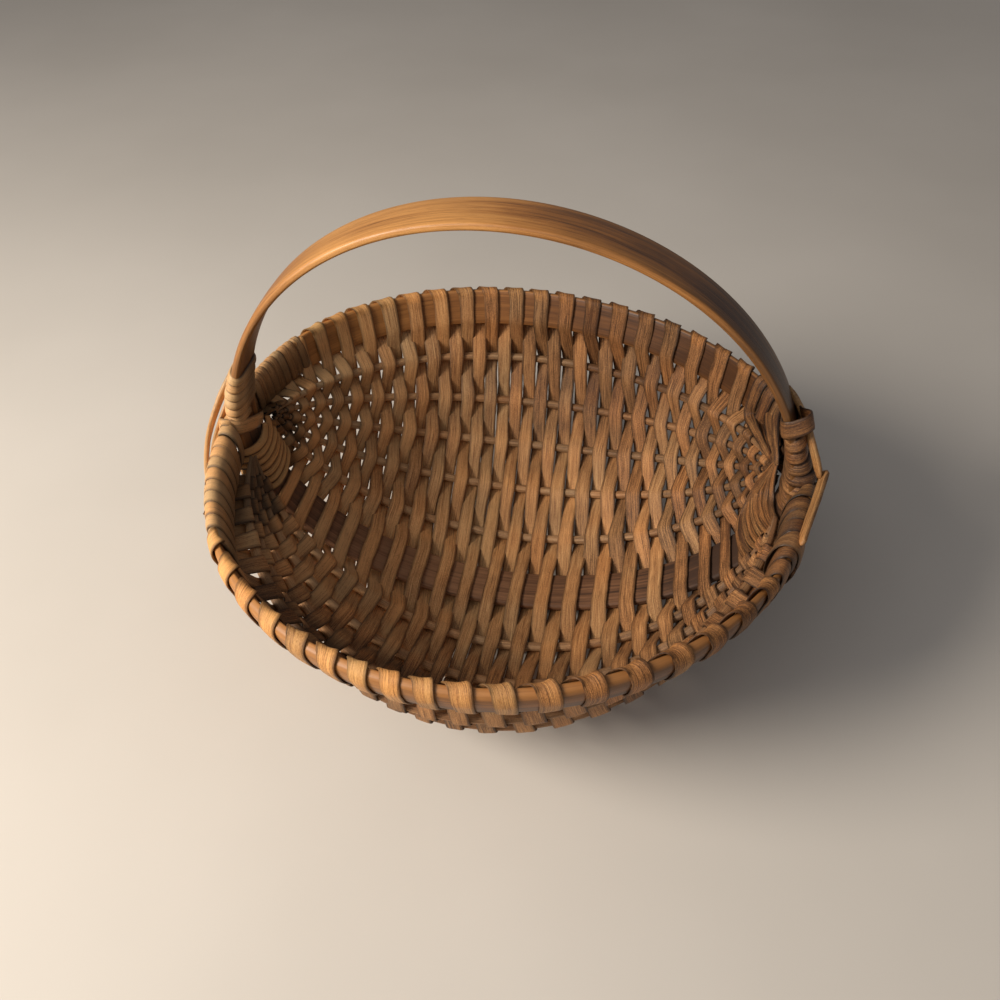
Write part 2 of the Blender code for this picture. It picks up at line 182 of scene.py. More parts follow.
def painted_light_and_shade(P):
    """Painted light and shade in the tone: lighter towards the left ear; painted shade towards the right-hand ear, on
    the far cheek, at the front right and in the front interior under the rim left of the middle.
    """
    x, y = np.asarray(P)[..., 0], np.asarray(P)[..., 1]
    z = np.asarray(P)[..., 2]
    far = ease((y - 66.0) / 56.0) * (0.4 + 0.6 * ease((x + 90.0) / 90.0))
    near = ease((60.0 - x) / 100.0) * ease((-y - 46.0) / 40.0) * ease((134.0 + y) / 10.0) * ease((-12.0 - z) / 9.0)
    return -0.55 * ease((x - 10.0) / 120.0) + 0.35 * ease((30.0 - x) / 60.0) + 0.42 * ease((-x - 50.0) / 80.0) - 0.42 * far - 0.65 * near - 0.22 * ease((x - 35.0) / 60.0) * ease((-y - 50.0) / 40.0)


def deepen_painted_shade(P, base):
    """Painted shade: lowers the value below zero in the deep corners beside the left ear and in the front-left interior
    under the rim, where the material then darkens it.
    """
    P = np.asarray(P, float)
    x, y, z = P[..., 0], P[..., 1], P[..., 2]
    front = ease((-x - 102.0) / 14.0) * ease((-8.0 - y) / 7.0) * ease((76.0 + y) / 26.0)
    back = ease((-x - 109.0) / 9.0) * ease((y - 11.0) / 3.0) * ease((36.0 - y) / 12.0)
    shade = ease((10.0 - x) / 90.0) * ease((-y - 50.0) / 50.0) * ease((-14.0 - z) / 10.0)
    return base - ease((-3.0 - z) / 10.0) * (1.45 * front + 1.3 * back) - 1.3 * shade


# ---- meshes ------------------------------------------------------------------------------------
A_ = np.array((-1.0, -0.94, -0.66, -0.3, 0.0, 0.3, 0.66, 0.94, 1.0))
FLAT = np.concatenate([np.stack([A_, (0.2, 0.66, 0.92, 1.0, 0.98, 1.0, 0.92, 0.66, 0.2)], 1), np.stack([-A_, (-0.2, -0.66, -0.92, -1.0, -0.98, -1.0, -0.92, -0.66, -0.2)], 1)])
ROUND = np.concatenate([np.stack([A_, (0.05, 0.42, 0.8, 0.97, 1.0, 0.97, 0.8, 0.42, 0.05)], 1), np.stack([-A_, (-0.05, -0.2, -0.3, -0.35, -0.35, -0.35, -0.3, -0.2, -0.05)], 1)])
NSEC = len(FLAT)


def mesh_object(name, verts, faces, attributes, smooth=True):
    me = bpy.data.meshes.new(name)
    me.from_pydata([tuple(v) for v in np.asarray(verts, float)], [], faces)
    me.update()
    me.polygons.foreach_set("use_smooth", [smooth] * len(me.polygons))
    for key, values in attributes.items():
        at = me.attributes.new(key, "FLOAT_VECTOR", "POINT")
        at.data.foreach_set("vector", np.asarray(values, np.float32).ravel())
    ob = bpy.data.objects.new(name, me)
    bpy.context.scene.collection.objects.link(ob)
    return ob


def frames_of(P, S):
    t = unit(np.gradient(P, axis=0))
    S = unit(S - (S * t).sum(1, keepdims=True) * t)
    return t, S, np.cross(t, S)


def tube_faces(n, m, cyclic, base=0):
    faces = []
    for i in range(n if cyclic else n - 1):
        a, b = base + i * m, base + ((i + 1) % n) * m
        for j in range(m):
            k = (j + 1) % m
            faces.append((a + j, a + k, b + k, b + j))
    if not cyclic:
        faces.append(tuple(base + j for j in reversed(range(m))))
        faces.append(tuple(base + (n - 1) * m + j for j in range(m)))
    return faces


def ribbon_data(P, S, W, T, tone, wear_and_shade, seed, u0=0.0, ripple=0.06, taper=0.0, outward=None, tilt=None, section=FLAT):
    """A splint along P. S is its width direction; outward (optional) says which side its crown faces; tilt rolls it."""
    N = len(P)
    t, S, nrm = frames_of(P, S)
    flip = 1.0
    if outward is not None and (nrm * outward).sum() < 0:
        nrm = -nrm
        flip = -1.0
    if tilt is not None:
        c, s = np.cos(tilt)[:, None], np.sin(tilt)[:, None]
        S, nrm = S * c + nrm * s, nrm * c - S * s
    u = u0 + np.concatenate(([0.0], np.cumsum(np.linalg.norm(np.diff(P, axis=0), axis=1))))
    W = W * (1 + 0.025 * wander(u, seed + 1, 37.0))
    T = np.asarray(T, float) * np.ones(N)
    if taper:
        end = np.minimum(u - u[0], u[-1] - u)
        T = T * np.clip(0.3 + 0.7 * end / taper, 0.3, 1.0)
        W = W * np.clip(0.6 + 0.4 * end / taper, 0.6, 1.0)
    a, n = section[:, 0], section[:, 1]
    lift = np.zeros((N, NSEC))
    for j in range(NSEC // 2):
        w = ripple * wander(u, seed * 31 + 7 * j, 22.0 + 5 * j)
        lift[:, j] = w
        lift[:, NSEC - 1 - j] = w
    ragged = np.where(a[None, :] < -0.9, 0.13 * wander(u, seed + 5, 9.0)[:, None], 0.0) + np.where(a[None, :] > 0.9, 0.13 * wander(u, seed + 6, 8.0)[:, None], 0.0)
    V = P[:, None, :] + S[:, None, :] * (a[None, :] * W[:, None] / 2 + ragged)[..., None] + nrm[:, None, :] * (n[None, :] * T[:, None] / 2 + lift)[..., None]
    st = np.stack([np.repeat(u[:, None], NSEC, 1), a[None, :] * W[:, None] / 2, np.full((N, NSEC), (seed % 97) * 1.37)], -1)
    tw = np.stack([np.repeat(np.asarray(tone)[:, None], NSEC, 1), np.repeat(np.asarray(wear_and_shade)[:, None], NSEC, 1), np.abs(a)[None, :] * np.ones((N, 1))], -1)
    F = tube_faces(N, NSEC, False)
    if flip < 0:
        F = [tuple(reversed(f)) for f in F]
    return V.reshape(-1, 3), F, st.reshape(-1, 3), tw.reshape(-1, 3)


def join_data(parts):
    V, F, A, B, base = [], [], [], [], 0
    for v, f, st, tw in parts:
        V.append(v)
        F += [tuple(i + base for i in face) for face in f]
        A.append(st)
        B.append(tw)
        base += len(v)
    return np.concatenate(V), F, np.concatenate(A), np.concatenate(B)


def piece(name, parts, material, nodes=()):
    v, f, st, tw = join_data(parts)
    ob = mesh_object(name, place(v), f, {"st": st, "tw": tw})
    ob.data.materials.append(material)
    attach(ob, "root")
    if nodes:
        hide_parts(*nodes)
    return ob


def gauss(values, step, sigma):
    """Smooths an array along its first axis, keeping the ends."""
    v = np.asarray(values, float)
    two = v.ndim == 1
    v = v[:, None] if two else v
    r = min(max(1, int(round(3 * sigma / step))), len(v) - 1)
    k = np.exp(-0.5 * (np.arange(-r, r + 1) * step / sigma) ** 2)
    k /= k.sum()
    p = np.concatenate([2 * v[0] - v[1 : r + 1][::-1], v, 2 * v[-1] - v[-r - 1 : -1][::-1]])
    out = np.stack([np.convolve(p[:, c], k, "valid") for c in range(v.shape[1])], 1)
    return out[:, 0] if two else out


def flow(stations, step=0.6, sigma=1.3, slow=3.0):
    """Stations (point, side, width, wear, roll) to a smooth, evenly spaced path."""
    P = np.array([q[0] for q in stations])
    d = np.maximum(np.linalg.norm(np.diff(P, axis=0), axis=1), 1e-6)
    u = np.concatenate(([0.0], np.cumsum(d)))
    n = max(6, int(u[-1] / step) + 1)
    uu = np.linspace(0, u[-1], n)
    h = uu[1] - uu[0]

    def run(col, sg):
        v = np.array(col, float)
        v = v[:, None] if v.ndim == 1 else v
        w = np.stack([np.interp(uu, u, v[:, c]) for c in range(v.shape[1])], 1)
        return gauss(w, h, sg)

    return {
        "P": run(P, sigma),
        "S": unit(run([q[1] for q in stations], slow)),
        "W": run([q[2] for q in stations], slow)[:, 0],
        "wear_and_shade": run([q[3] for q in stations], 1.5)[:, 0],
        "roll": run([q[4] for q in stations], 2.0)[:, 0],
        "u": uu,
        "at": u,
    }


# ---- the weave ---------------------------------------------------------------------------------
rnd = np.random.RandomState(11)
ROW_S = {k: PI / 2 + (k - MID + rnd.uniform(-0.03, 0.03)) * STEP for k in range(ROWS)}
for j, d in enumerate((0.2006, 0.1506, 0.1006)):
    ROW_S[-1 - j] = d
    ROW_S[ROWS + j] = PI - d
R_OFF = SPLINT_T / 2 + 0.1
COILED = {(True, True): 0.64, (True, False): 0.48, (False, True): 0.48, (False, False): 0.50}
SEQ = [(i, False) for i in range(5)] + [None] + [(i, True) for i in (4, 3, 2, 1, 0)]
MIDDLE = np.array((HOOP_X0, 0.0, -5.0))


def crowd(q, share):
    """Where a row evenly laid at q lies, share of the way from the back rim to the front rim: rows crowd towards the middle."""
    ends = [m + (q - m) * (1 - a * math.exp(-(((q - m) / w) ** 2))) for m, w, a in ((PI / 2, 0.6, 0.085), (1.70, 0.55, 0.2))]
    return ends[0] + (ends[1] - ends[0]) * share


def crowding(q, share):
    return (crowd(q + 0.01, share) - crowd(q - 0.01, share)) / 0.02


def band_curve(q):
    return hoop_point(-q, 0.0, 0.0)


def row_path(k):
    """The angles at which row k meets each rib and the band, eased so that the splint runs straighter."""
    s0 = ROW_S[k]
    fs = [lambda q: rim_face(clamp(q), False, -1, 0, RIM_H)]
    for e in SEQ:
        fs.append(band_curve if e is None else (lambda q, e=e: rib_curve(e[0], e[1], q)))
    fs.append(lambda q: rim_face(clamp(q), True, -1, 0, RIM_H))
    base = [crowd(s0, j / 12) for j in range(len(fs))]
    s = list(base)
    for _ in range(8):
        c = [f(q) for f, q in zip(fs, s)]
        for j in range(1, len(fs) - 1):
            t = along(fs[j], s[j])
            a, b = c[j - 1], c[j + 1]
            la, lb = np.linalg.norm(c[j] - a), np.linalg.norm(b - c[j])
            want = a + (b - a) * la / (la + lb)
            move = 0.6 * ((want - c[j]) @ t) / (t @ t)
            s[j] = min(max(s[j] + move, base[j] - 0.045), base[j] + 0.045)
    jit = np.random.RandomState(1000 + k)
    return [q + jit.uniform(-0.04, 0.04) * STEP for q in s[1:-1]]


def row_inside(k):
    return k % 2 == 0


def row_stations(k):
    """Row k from the back rim to the front rim: [point, side, width, wear, roll, centre, outward, sign, height, target]."""
    s0 = ROW_S[k]
    inside = row_inside(k)
    side = -1 if inside else 1
    near = min(s0, PI - s0)
    angles = row_path(k)
    full = SPLINT_W
    fill = 1.27 + 0.06 * max(0.0, 1 - near / 0.9)
    rows = []

    def put(p, f, s, at, w=None, wear_and_shade=0.4, c=None, n=None, sign=0.0, h=0.0, spread=fill, roll=0.0):
        t = along(f, s)
        pitch = np.linalg.norm(t) * STEP * crowding(s0, at)
        width = min(full, pitch * spread) if w is None else w
        rows.append([p, unit(t), width, wear_and_shade, roll, c, n, sign, h, h])

    def rim_end(front):
        f = lambda q: rim_curve(clamp(q), front)
        s1 = crowd(s0, 1.0 if front else 0.0)
        deep = near < COILED[(s0 > PI / 2, front)]
        out = [(rim_face(s1, front, side, -1.4 if deep else R_OFF + 0.1, v), f, s1) for v in (6.5, 12.5, RIM_H - 1.6)]
        if not inside:
            top, o, down = rim_frame(s1, front)
            drop = (rib_curve(0, front, s1) - top) @ down - RIM_H
            if drop < 12.0:
                out.append((top + o * (rim_t(s1) / 2) + down * (RIM_H + 0.9), f, s1))
            if drop < 6.0:
                out.append((top - o * (rim_t(s1) / 2 + 0.4) + down * (RIM_H + 0.8), f, s1))
        return out

    for p, f, s in rim_end(False):
        put(p, f, s, 0.0, wear_and_shade=0.6, spread=1.12)
    for j, e in enumerate(SEQ):
        s = angles[j]
        if e is None:
            within = inside or near < 0.40
            n = -(SPLINT_T / 2 + 0.45) if within else HOOP_T + SPLINT_T / 2 + 0.45
            for y in (HOOP_W / 2 + 0.2, 4.0, -4.0, -HOOP_W / 2 - 0.2):
                put(hoop_point(-s, n, y), band_curve, s, 0.5, wear_and_shade=0.9 if abs(y) < 5 else 0.7, spread=1.14)
            continue
        i, front = e
        f = lambda q, i=i, front=front: rib_curve(i, front, q)
        c = f(s)
        before = rim_face(s, front, -1, 0.0, RIM_H) if i == 0 else rib_curve(i - 1, front, s)
        after = hoop_point(-s, HOOP_T / 2, -HOOP_W / 2 if front else HOOP_W / 2) if i == 4 else rib_curve(i + 1, front, s)
        n = unit(np.cross(unit(along(f, s)), unit(after - c) + unit(c - before)))
        if n @ (c - MIDDLE) < 0:
            n = -n
        sign = 1.0 if (i + (0 if inside else 1)) % 2 == 0 else -1.0
        reach = rib_radius(s) + SPLINT_T / 2 + 0.06
        other = c if i == 4 else rib_curve(i + 1, front, angles[j - 1] if front else angles[j + 1])
        t = along(f, s)
        between = [(c + other) / 2, unit(t), min(full * 0.94, np.linalg.norm(t) * STEP * crowding(s0, (j + 1) / 12) * (fill - 0.2)), 0.0, math.radians(4.0), None, None, 0.0, 0.0, 0.0]
        if front and i < 4:
            rows.append(between)
        put(c + n * sign * reach, f, s, (j + 1) / 12, wear_and_shade=1.0, c=c, n=n, sign=sign, h=reach)
        if not front and i < 4:
            rows.append(between)
    for p, f, s in reversed(rim_end(True)):
        put(p, f, s, 1.0, wear_and_shade=0.6, spread=1.12)
    return rows


def loop_stations(k, front):
    """Over the rim from row k to row k + 1."""
    out = []
    at = 1.0 if front else 0.0
    inner, outer = [crowd(ROW_S[q], at) for q in ((k, k + 1) if row_inside(k) else (k + 1, k))]
    pitch = STEP * crowding(ROW_S[k], at)
    shift = (0.36, 0.6, 0.76, 0.86, 0.93, 0.98) if front else (0.03, 0.08, 0.17, 0.33, 0.57, 0.8)
    for phi, share in zip((155, 128, 105, 78, 48, 24), shift):
        s = inner + (outer - inner) * share
        t = along(lambda q: rim_curve(clamp(q), front), s)
        off, full, d, coiled = R_OFF + 0.45, LOOP_W, min(s, PI - s), COILED[(s > PI / 2, front)]
        if d < coiled:
            off, full = -1.7, 6.0
        elif front:
            off += 0.4 * ease(1 - (d - coiled) / 0.26)
        out.append([rim_round(s, front, phi, off), unit(t), min(full, np.linalg.norm(t) * pitch * 1.25), 1.6, 0.0, None, None, 0.0, 0.0, 0.0])
    if not row_inside(k):
        out.reverse()
    return out


def settle(stations, rounds=4):
    """Mid-span points lie halfway between their neighbours, and crossings are lifted until the smooth path clears the ribs."""
    for _ in range(rounds):
        for q in stations:
            if q[5] is not None:
                q[0] = q[5] + q[6] * (q[7] * q[8])
        for j in range(1, len(stations) - 1):
            q = stations[j]
            if q[3] == 0.0 and q[5] is None:
                q[0] = (stations[j - 1][0] + stations[j + 1][0]) / 2
        path = flow([q[:5] for q in stations], sigma=1.75)
        for j, q in enumerate(stations):
            if q[5] is not None:
                x = np.array([np.interp(path["at"][j], path["u"], path["P"][:, c]) for c in range(3)])
                got = (x - q[5]) @ q[6] * q[7]
                q[8] = min(max(q[8] + (q[9] - got), 0.0), q[9] + (0.9 if abs(q[5][0]) > 100.0 else 3.0))
    return path


def whole_weave():
    stations, starts, row_of = [], [], []
    for k in range(ROWS):
        row = row_stations(k)
        if k % 2 == 0:
            row.reverse()
        if k % 3 == 0 and k < ROWS - 1:
            starts.append(len(stations))
        stations += row
        row_of += [k] * len(row)
        if k < ROWS - 1:
            lp = loop_stations(k, k % 2 == 1)
            stations += lp
            row_of += [k + 0.5] * len(lp)
    return settle(stations), starts, row_of


# ---- materials ---------------------------------------------------------------------------------
def srgb(r, g, b):
    def f(c):
        c /= 255.0
        return c / 12.92 if c <= 0.04045 else ((c + 0.055) / 1.055) ** 2.4

    return (f(r), f(g), f(b), 1.0)


class Graph:
    def __init__(self, name):
        self.mat = bpy.data.materials.new(name)
        self.mat.use_nodes = True
        self.nt = self.mat.node_tree
        self.nt.nodes.clear()
        self.out = self.nt.nodes.new("ShaderNodeOutputMaterial")
        self.bsdf = self.nt.nodes.new("ShaderNodeBsdfPrincipled")
        self.nt.links.new(self.bsdf.outputs["BSDF"], self.out.inputs["Surface"])

    def node(self, kind, **props):
        n = self.nt.nodes.new(kind)
        for k, v in props.items():
            setattr(n, k, v)
        return n

    def link(self, a, b):
        self.nt.links.new(a, b)

    def put(self, socket, value):
        if isinstance(value, bpy.types.NodeSocket):
            self.link(value, socket)
        else:
            socket.default_value = value

    def math(self, op, a, b=0.0, clamp=False):
        n = self.node("ShaderNodeMath", operation=op, use_clamp=clamp)
        self.put(n.inputs[0], a)
        self.put(n.inputs[1], b)
        return n.outputs[0]

    def attr(self, name):
        n = self.node("ShaderNodeAttribute", attribute_type="GEOMETRY", attribute_name=name)
        s = self.node("ShaderNodeSeparateXYZ")
        self.link(n.outputs["Vector"], s.inputs[0])
        return s.outputs[0], s.outputs[1], s.outputs[2]

    def vec(self, x, y, z):
        n = self.node("ShaderNodeCombineXYZ")
        for s, v in zip(n.inputs, (x, y, z)):
            self.put(s, v)
        return n.outputs[0]

    def noise(self, vector, scale, detail=3.0, rough=0.55, distortion=0.0):
        n = self.node("ShaderNodeTexNoise")
        self.link(vector, n.inputs["Vector"])
        n.inputs["Scale"].default_value = scale
        n.inputs["Detail"].default_value = detail
        n.inputs["Roughness"].default_value = rough
        n.inputs["Distortion"].default_value = distortion
        return n.outputs["Fac"]

    def ramp(self, fac, stops):
        n = self.node("ShaderNodeValToRGB")
        self.link(fac, n.inputs["Fac"])
        els = n.color_ramp.elements
        while len(els) < len(stops):
            els.new(0.5)
        for e, (p, c) in zip(els, stops):
            e.position = p
            e.color = c
        return n.outputs["Color"]

    def map(self, v, a, b, c, d, clamp=True):
        n = self.node("ShaderNodeMapRange", clamp=clamp)
        self.put(n.inputs["Value"], v)
        for key, x in (("From Min", a), ("From Max", b), ("To Min", c), ("To Max", d)):
            n.inputs[key].default_value = x
        return n.outputs["Result"]

    def mix(self, fac, a, b, blend="MIX"):
        n = self.node("ShaderNodeMix", data_type="RGBA", blend_type=blend)
        self.put(n.inputs["Factor"], fac)
        self.put(n.inputs[6], a)
        self.put(n.inputs[7], b)
        return n.outputs[2]

    def times(self, col, v):
        return self.mix(1.0, col, self.vec(v, v, v), "MULTIPLY")

    def bump(self, height, strength, distance):
        n = self.node("ShaderNodeBump")
        n.inputs["Strength"].default_value = strength
        n.inputs["Distance"].default_value = distance
        self.link(height, n.inputs["Height"])
        self.link(n.outputs["Normal"], self.bsdf.inputs["Normal"])


def splint_material(name, dark, mid, light, rough=(0.5, 0.72), fibre=1.0, worn=0.5, stain=0.5, coat=0.0, edges=0.6):
    """Split wood: long fibre lines along the strand, toned strand by strand, darker in the crossings and along its
    edges (part dirt, part painted crevice shade), worn where it stands proud, and darker where the wear value carries
    painted shade.
    """
    g = Graph(name)
    u, v, seed = g.attr("st")
    # the wear value here also carries painted shade: low or below zero where shade is painted
    tone, wear_and_shade, edge = g.attr("tw")
    pos = g.node("ShaderNodeTexCoord").outputs["Object"]
    zs = g.math("MULTIPLY", seed, 3.7)
    broad = g.noise(g.vec(g.math("MULTIPLY", u, 0.02), g.math("MULTIPLY", v, 0.35), zs), 1.0, 4.0, 0.6)
    fibres = g.noise(g.vec(g.math("MULTIPLY", u, 0.035), g.math("MULTIPLY", v, 1.75), zs), 1.0, 4.0, 0.72)
    fine = g.noise(g.vec(g.math("MULTIPLY", u, 0.12), g.math("MULTIPLY", v, 5.2), g.math("ADD", zs, 9.0)), 1.0, 3.0, 0.6)
    grit = g.noise(g.vec(g.math("MULTIPLY", u, 1.3), g.math("MULTIPLY", v, 3.0), g.math("ADD", zs, 21.0)), 1.0, 2.0, 0.6)
    blot = g.noise(pos, 26.0, 4.0, 0.6)
    a = g.math("ADD", g.math("MULTIPLY", g.math("SUBTRACT", fibres, 0.5), 1.15 * fibre), 0.5)
    a = g.math("ADD", a, g.math("MULTIPLY", g.math("SUBTRACT", broad, 0.5), 0.55))
    a = g.math("ADD", a, g.math("MULTIPLY", g.math("SUBTRACT", fine, 0.5), 0.95 * fibre))
    a = g.math("ADD", a, g.math("MULTIPLY", g.math("SUBTRACT", grit, 0.5), 0.8 * fibre))
    a = g.math("ADD", a, g.math("MULTIPLY", g.math("SUBTRACT", tone, 0.5), 0.5))
    a = g.math("ADD", a, g.math("MULTIPLY", g.math("SUBTRACT", blot, 0.5), 0.5 * stain))
    col = g.ramp(a, [(0.12, dark), (0.5, mid), (0.88, light)])
    # some strands run redder, some greyer
    hue = g.noise(g.vec(g.math("MULTIPLY", u, 0.011), g.math("MULTIPLY", seed, 5.1), g.math("MULTIPLY", tone, 3.0)), 1.0, 2.0, 0.5)
    col = g.mix(g.map(hue, 0.35, 0.65, 0.0, 1.0), g.mix(1.0, col, (1.1, 0.98, 0.86, 1.0), "MULTIPLY"), g.mix(1.0, col, (0.9, 0.95, 1.0, 1.0), "MULTIPLY"))
    groove = g.map(fibres, 0.30, 0.44, 0.5, 1.0)
    col = g.mix(0.7 * min(fibre, 1.0), col, g.times(col, groove))
    line = g.map(fine, 0.32, 0.43, 0.5, 1.0)
    col = g.mix(0.7 * min(fibre, 1.0), col, g.times(col, line))
    col = g.mix(g.map(wear_and_shade, 1.05, 1.5, 0.0, 1.0), col, g.mix(1.0, col, (1.07, 1.0, 0.82, 1.0), "MULTIPLY"))
    # darker where little worn and along the edges (wear, dirt and painted crevice shade), and much darker where painted
    # shade took the value below zero
    shade = g.math("MULTIPLY", g.map(wear_and_shade, 0.0, 0.8, 1.0 - 0.3 * worn, 1.0), g.map(edge, 0.62, 1.0, 1.0, 1.0 - edges))
    col = g.times(g.times(col, shade), g.map(wear_and_shade, -1.0, 0.1, 0.16, 1.0))
    dirt = g.map(g.noise(pos, 60.0, 5.0, 0.65), 0.56, 0.72, 0.0, 0.5 * stain)
    col = g.mix(dirt, col, g.mix(1.0, col, (0.5, 0.46, 0.44, 1.0), "MULTIPLY"))
    spots = g.map(g.noise(pos, 900.0, 2.0, 0.5), 0.70, 0.76, 0.0, 0.6)
    col = g.mix(spots, col, g.mix(1.0, col, (0.3, 0.27, 0.25, 1.0), "MULTIPLY"))
    g.link(col, g.bsdf.inputs["Base Color"])
    g.link(g.map(g.math("ADD", g.math("MULTIPLY", fibres, 0.6), g.math("MULTIPLY", blot, 0.4)), 0.3, 0.7, rough[0], rough[1]), g.bsdf.inputs["Roughness"])
    g.bsdf.inputs["Specular IOR Level"].default_value = 0.4
    if coat:
        g.bsdf.inputs["Coat Weight"].default_value = coat
        g.bsdf.inputs["Coat Roughness"].default_value = 0.35
    h = g.math("ADD", g.math("MULTIPLY", fibres, 0.7), g.math("ADD", g.math("MULTIPLY", fine, 0.35), g.math("MULTIPLY", grit, 0.12)))
    g.bump(h, 1.0, 0.0006 * fibre)
    return g.mat


def hoop_material(name, dark, mid, light, rough, coat, grain=1.0, worn=0.4, band=None):
    """A bent, hand-worn hoop: long grain with short dark pores, darker seams, paler worn edges. band: its duller tones where tw.z is 1."""
    g = Graph(name)
    u, v, r = g.attr("st")
    # on the hoops the wear value only marks the rounded edges, paler with wear
    tone, wear_and_shade, low = g.attr("tw")
    pos = g.node("ShaderNodeTexCoord").outputs["Object"]
    v2 = g.math("ADD", v, r)
    warp = g.math("MULTIPLY", g.math("SUBTRACT", g.noise(g.vec(g.math("MULTIPLY", u, 0.012), g.math("MULTIPLY", v2, 0.06), r), 1.0, 2.0), 0.5), 4.0)
    vv = g.math("ADD", v2, warp)
    broad = g.noise(g.vec(g.math("MULTIPLY", u, 0.009), g.math("MULTIPLY", vv, 0.24), r), 1.0, 4.0, 0.6)
    lines = g.noise(g.vec(g.math("MULTIPLY", u, 0.022), g.math("MULTIPLY", vv, 0.95), r), 1.0, 5.0, 0.7)
    pores = g.noise(g.vec(g.math("MULTIPLY", u, 0.15), g.math("MULTIPLY", vv, 3.2), r), 1.0, 3.0, 0.55)
    blot = g.noise(pos, 18.0, 4.0, 0.6)
    a = g.math("ADD", g.math("MULTIPLY", g.math("SUBTRACT", lines, 0.5), 0.95 * grain), 0.5)
    a = g.math("ADD", a, g.math("MULTIPLY", g.math("SUBTRACT", broad, 0.5), 0.7))
    a = g.math("ADD", a, g.math("MULTIPLY", g.math("SUBTRACT", blot, 0.5), 0.35))
    a = g.math("ADD", a, g.math("MULTIPLY", g.math("SUBTRACT", tone, 0.5), 0.6))
    col = g.ramp(a, [(0.15, dark), (0.5, mid), (0.85, light)])
    if band:
        col = g.mix(low, col, g.ramp(a, [(0.2, band[0]), (0.5, band[1]), (0.8, band[2])]))
    pit = g.map(pores, 0.30, 0.42, 0.5, 1.0)
    col = g.mix(0.65 * grain, col, g.times(col, pit))
    seam = g.map(lines, 0.30, 0.40, 0.5, 1.0)
    col = g.mix(0.7, col, g.times(col, seam))
    col = g.mix(g.math("MULTIPLY", g.math("MULTIPLY", wear_and_shade, g.math("SUBTRACT", 1.0, low)), worn), col, light)
    g.link(col, g.bsdf.inputs["Base Color"])
    ro = g.map(g.math("ADD", g.math("MULTIPLY", lines, 0.5), g.math("MULTIPLY", blot, 0.5)), 0.3, 0.7, rough[0], rough[1])
    g.link(g.math("ADD", ro, g.math("MULTIPLY", low, 0.25)), g.bsdf.inputs["Roughness"])
    g.bsdf.inputs["Specular IOR Level"].default_value = 0.45
    g.link(g.math("MULTIPLY", g.math("SUBTRACT", 1.0, low), coat), g.bsdf.inputs["Coat Weight"])
    g.bsdf.inputs["Coat Roughness"].default_value = 0.3
    g.bump(g.math("ADD", g.math("MULTIPLY", lines, 0.6), g.math("MULTIPLY", pores, 0.4)), 0.6, 0.0004 * grain)
    return g.mat


M_SPLINT = splint_material("split_weaver", srgb(94, 60, 32), srgb(183, 131, 82), srgb(220, 171, 115), fibre=1.0, worn=0.7, stain=0.6, edges=0.72)
# worn=1.4 mostly deepens the painted shade on the inner sides of the coils and wraps
M_LASH = splint_material("split_lashing", srgb(80, 48, 25), srgb(164, 115, 68), srgb(218, 171, 116), rough=(0.4, 0.6), fibre=0.95, worn=1.4, stain=0.5, coat=0.15, edges=0.8)
# edges=1.0 paints deep crevice shade along the fan strands' edges
M_FAN = splint_material("fan_strand", srgb(70, 42, 22), srgb(150, 103, 58), srgb(206, 156, 98), fibre=1.0, worn=0.8, stain=0.8, edges=1.0)
M_RIB = splint_material("whittled_rib", srgb(96, 66, 40), srgb(160, 118, 78), srgb(198, 158, 114), fibre=0.7, worn=0.2, stain=0.5, edges=0.0)
M_STRIP = splint_material("split_strip", srgb(96, 58, 28), srgb(176, 124, 72), srgb(220, 174, 118), rough=(0.38, 0.58), fibre=0.8, worn=0.2, stain=0.3, coat=0.2, edges=0.3)
M_HOOP = hoop_material("handle_wood", srgb(74, 44, 24), srgb(157, 102, 49), srgb(204, 145, 80), (0.36, 0.52), 0.16, worn=0.16, band=(srgb(56, 34, 18), srgb(112, 74, 46), srgb(150, 106, 72)))
M_RIM = hoop_material("rim_wood", srgb(76, 45, 20), srgb(126, 80, 40), srgb(182, 124, 66), (0.42, 0.56), 0.06, grain=0.62)

# ---- hoops -------------------------------------------------------------------------------------


def round_box(hw, hh, r, seg=4):
    """Outline of a rounded box as (thickness way, height way, share of edge rounding)."""
    pts = []
    for cx, cy, a0 in ((hw - r, hh - r, 0), (-hw + r, hh - r, 90), (-hw + r, -hh + r, 180), (hw - r, -hh + r, 270)):
        for j in range(seg + 1):
            a = math.radians(a0 + 90 * j / seg)
            pts.append((cx + r * math.cos(a), cy + r * math.sin(a), 1.0))
    full = []
    for i, p in enumerate(pts):
        q = pts[(i + 1) % len(pts)]
        full.append(p)
        d = math.hypot(q[0] - p[0], q[1] - p[1])
        if d > 3.0:
            for j in range(1, 4):
                full.append((p[0] + (q[0] - p[0]) * j / 4, p[1] + (q[1] - p[1]) * j / 4, 0.0))
    return full


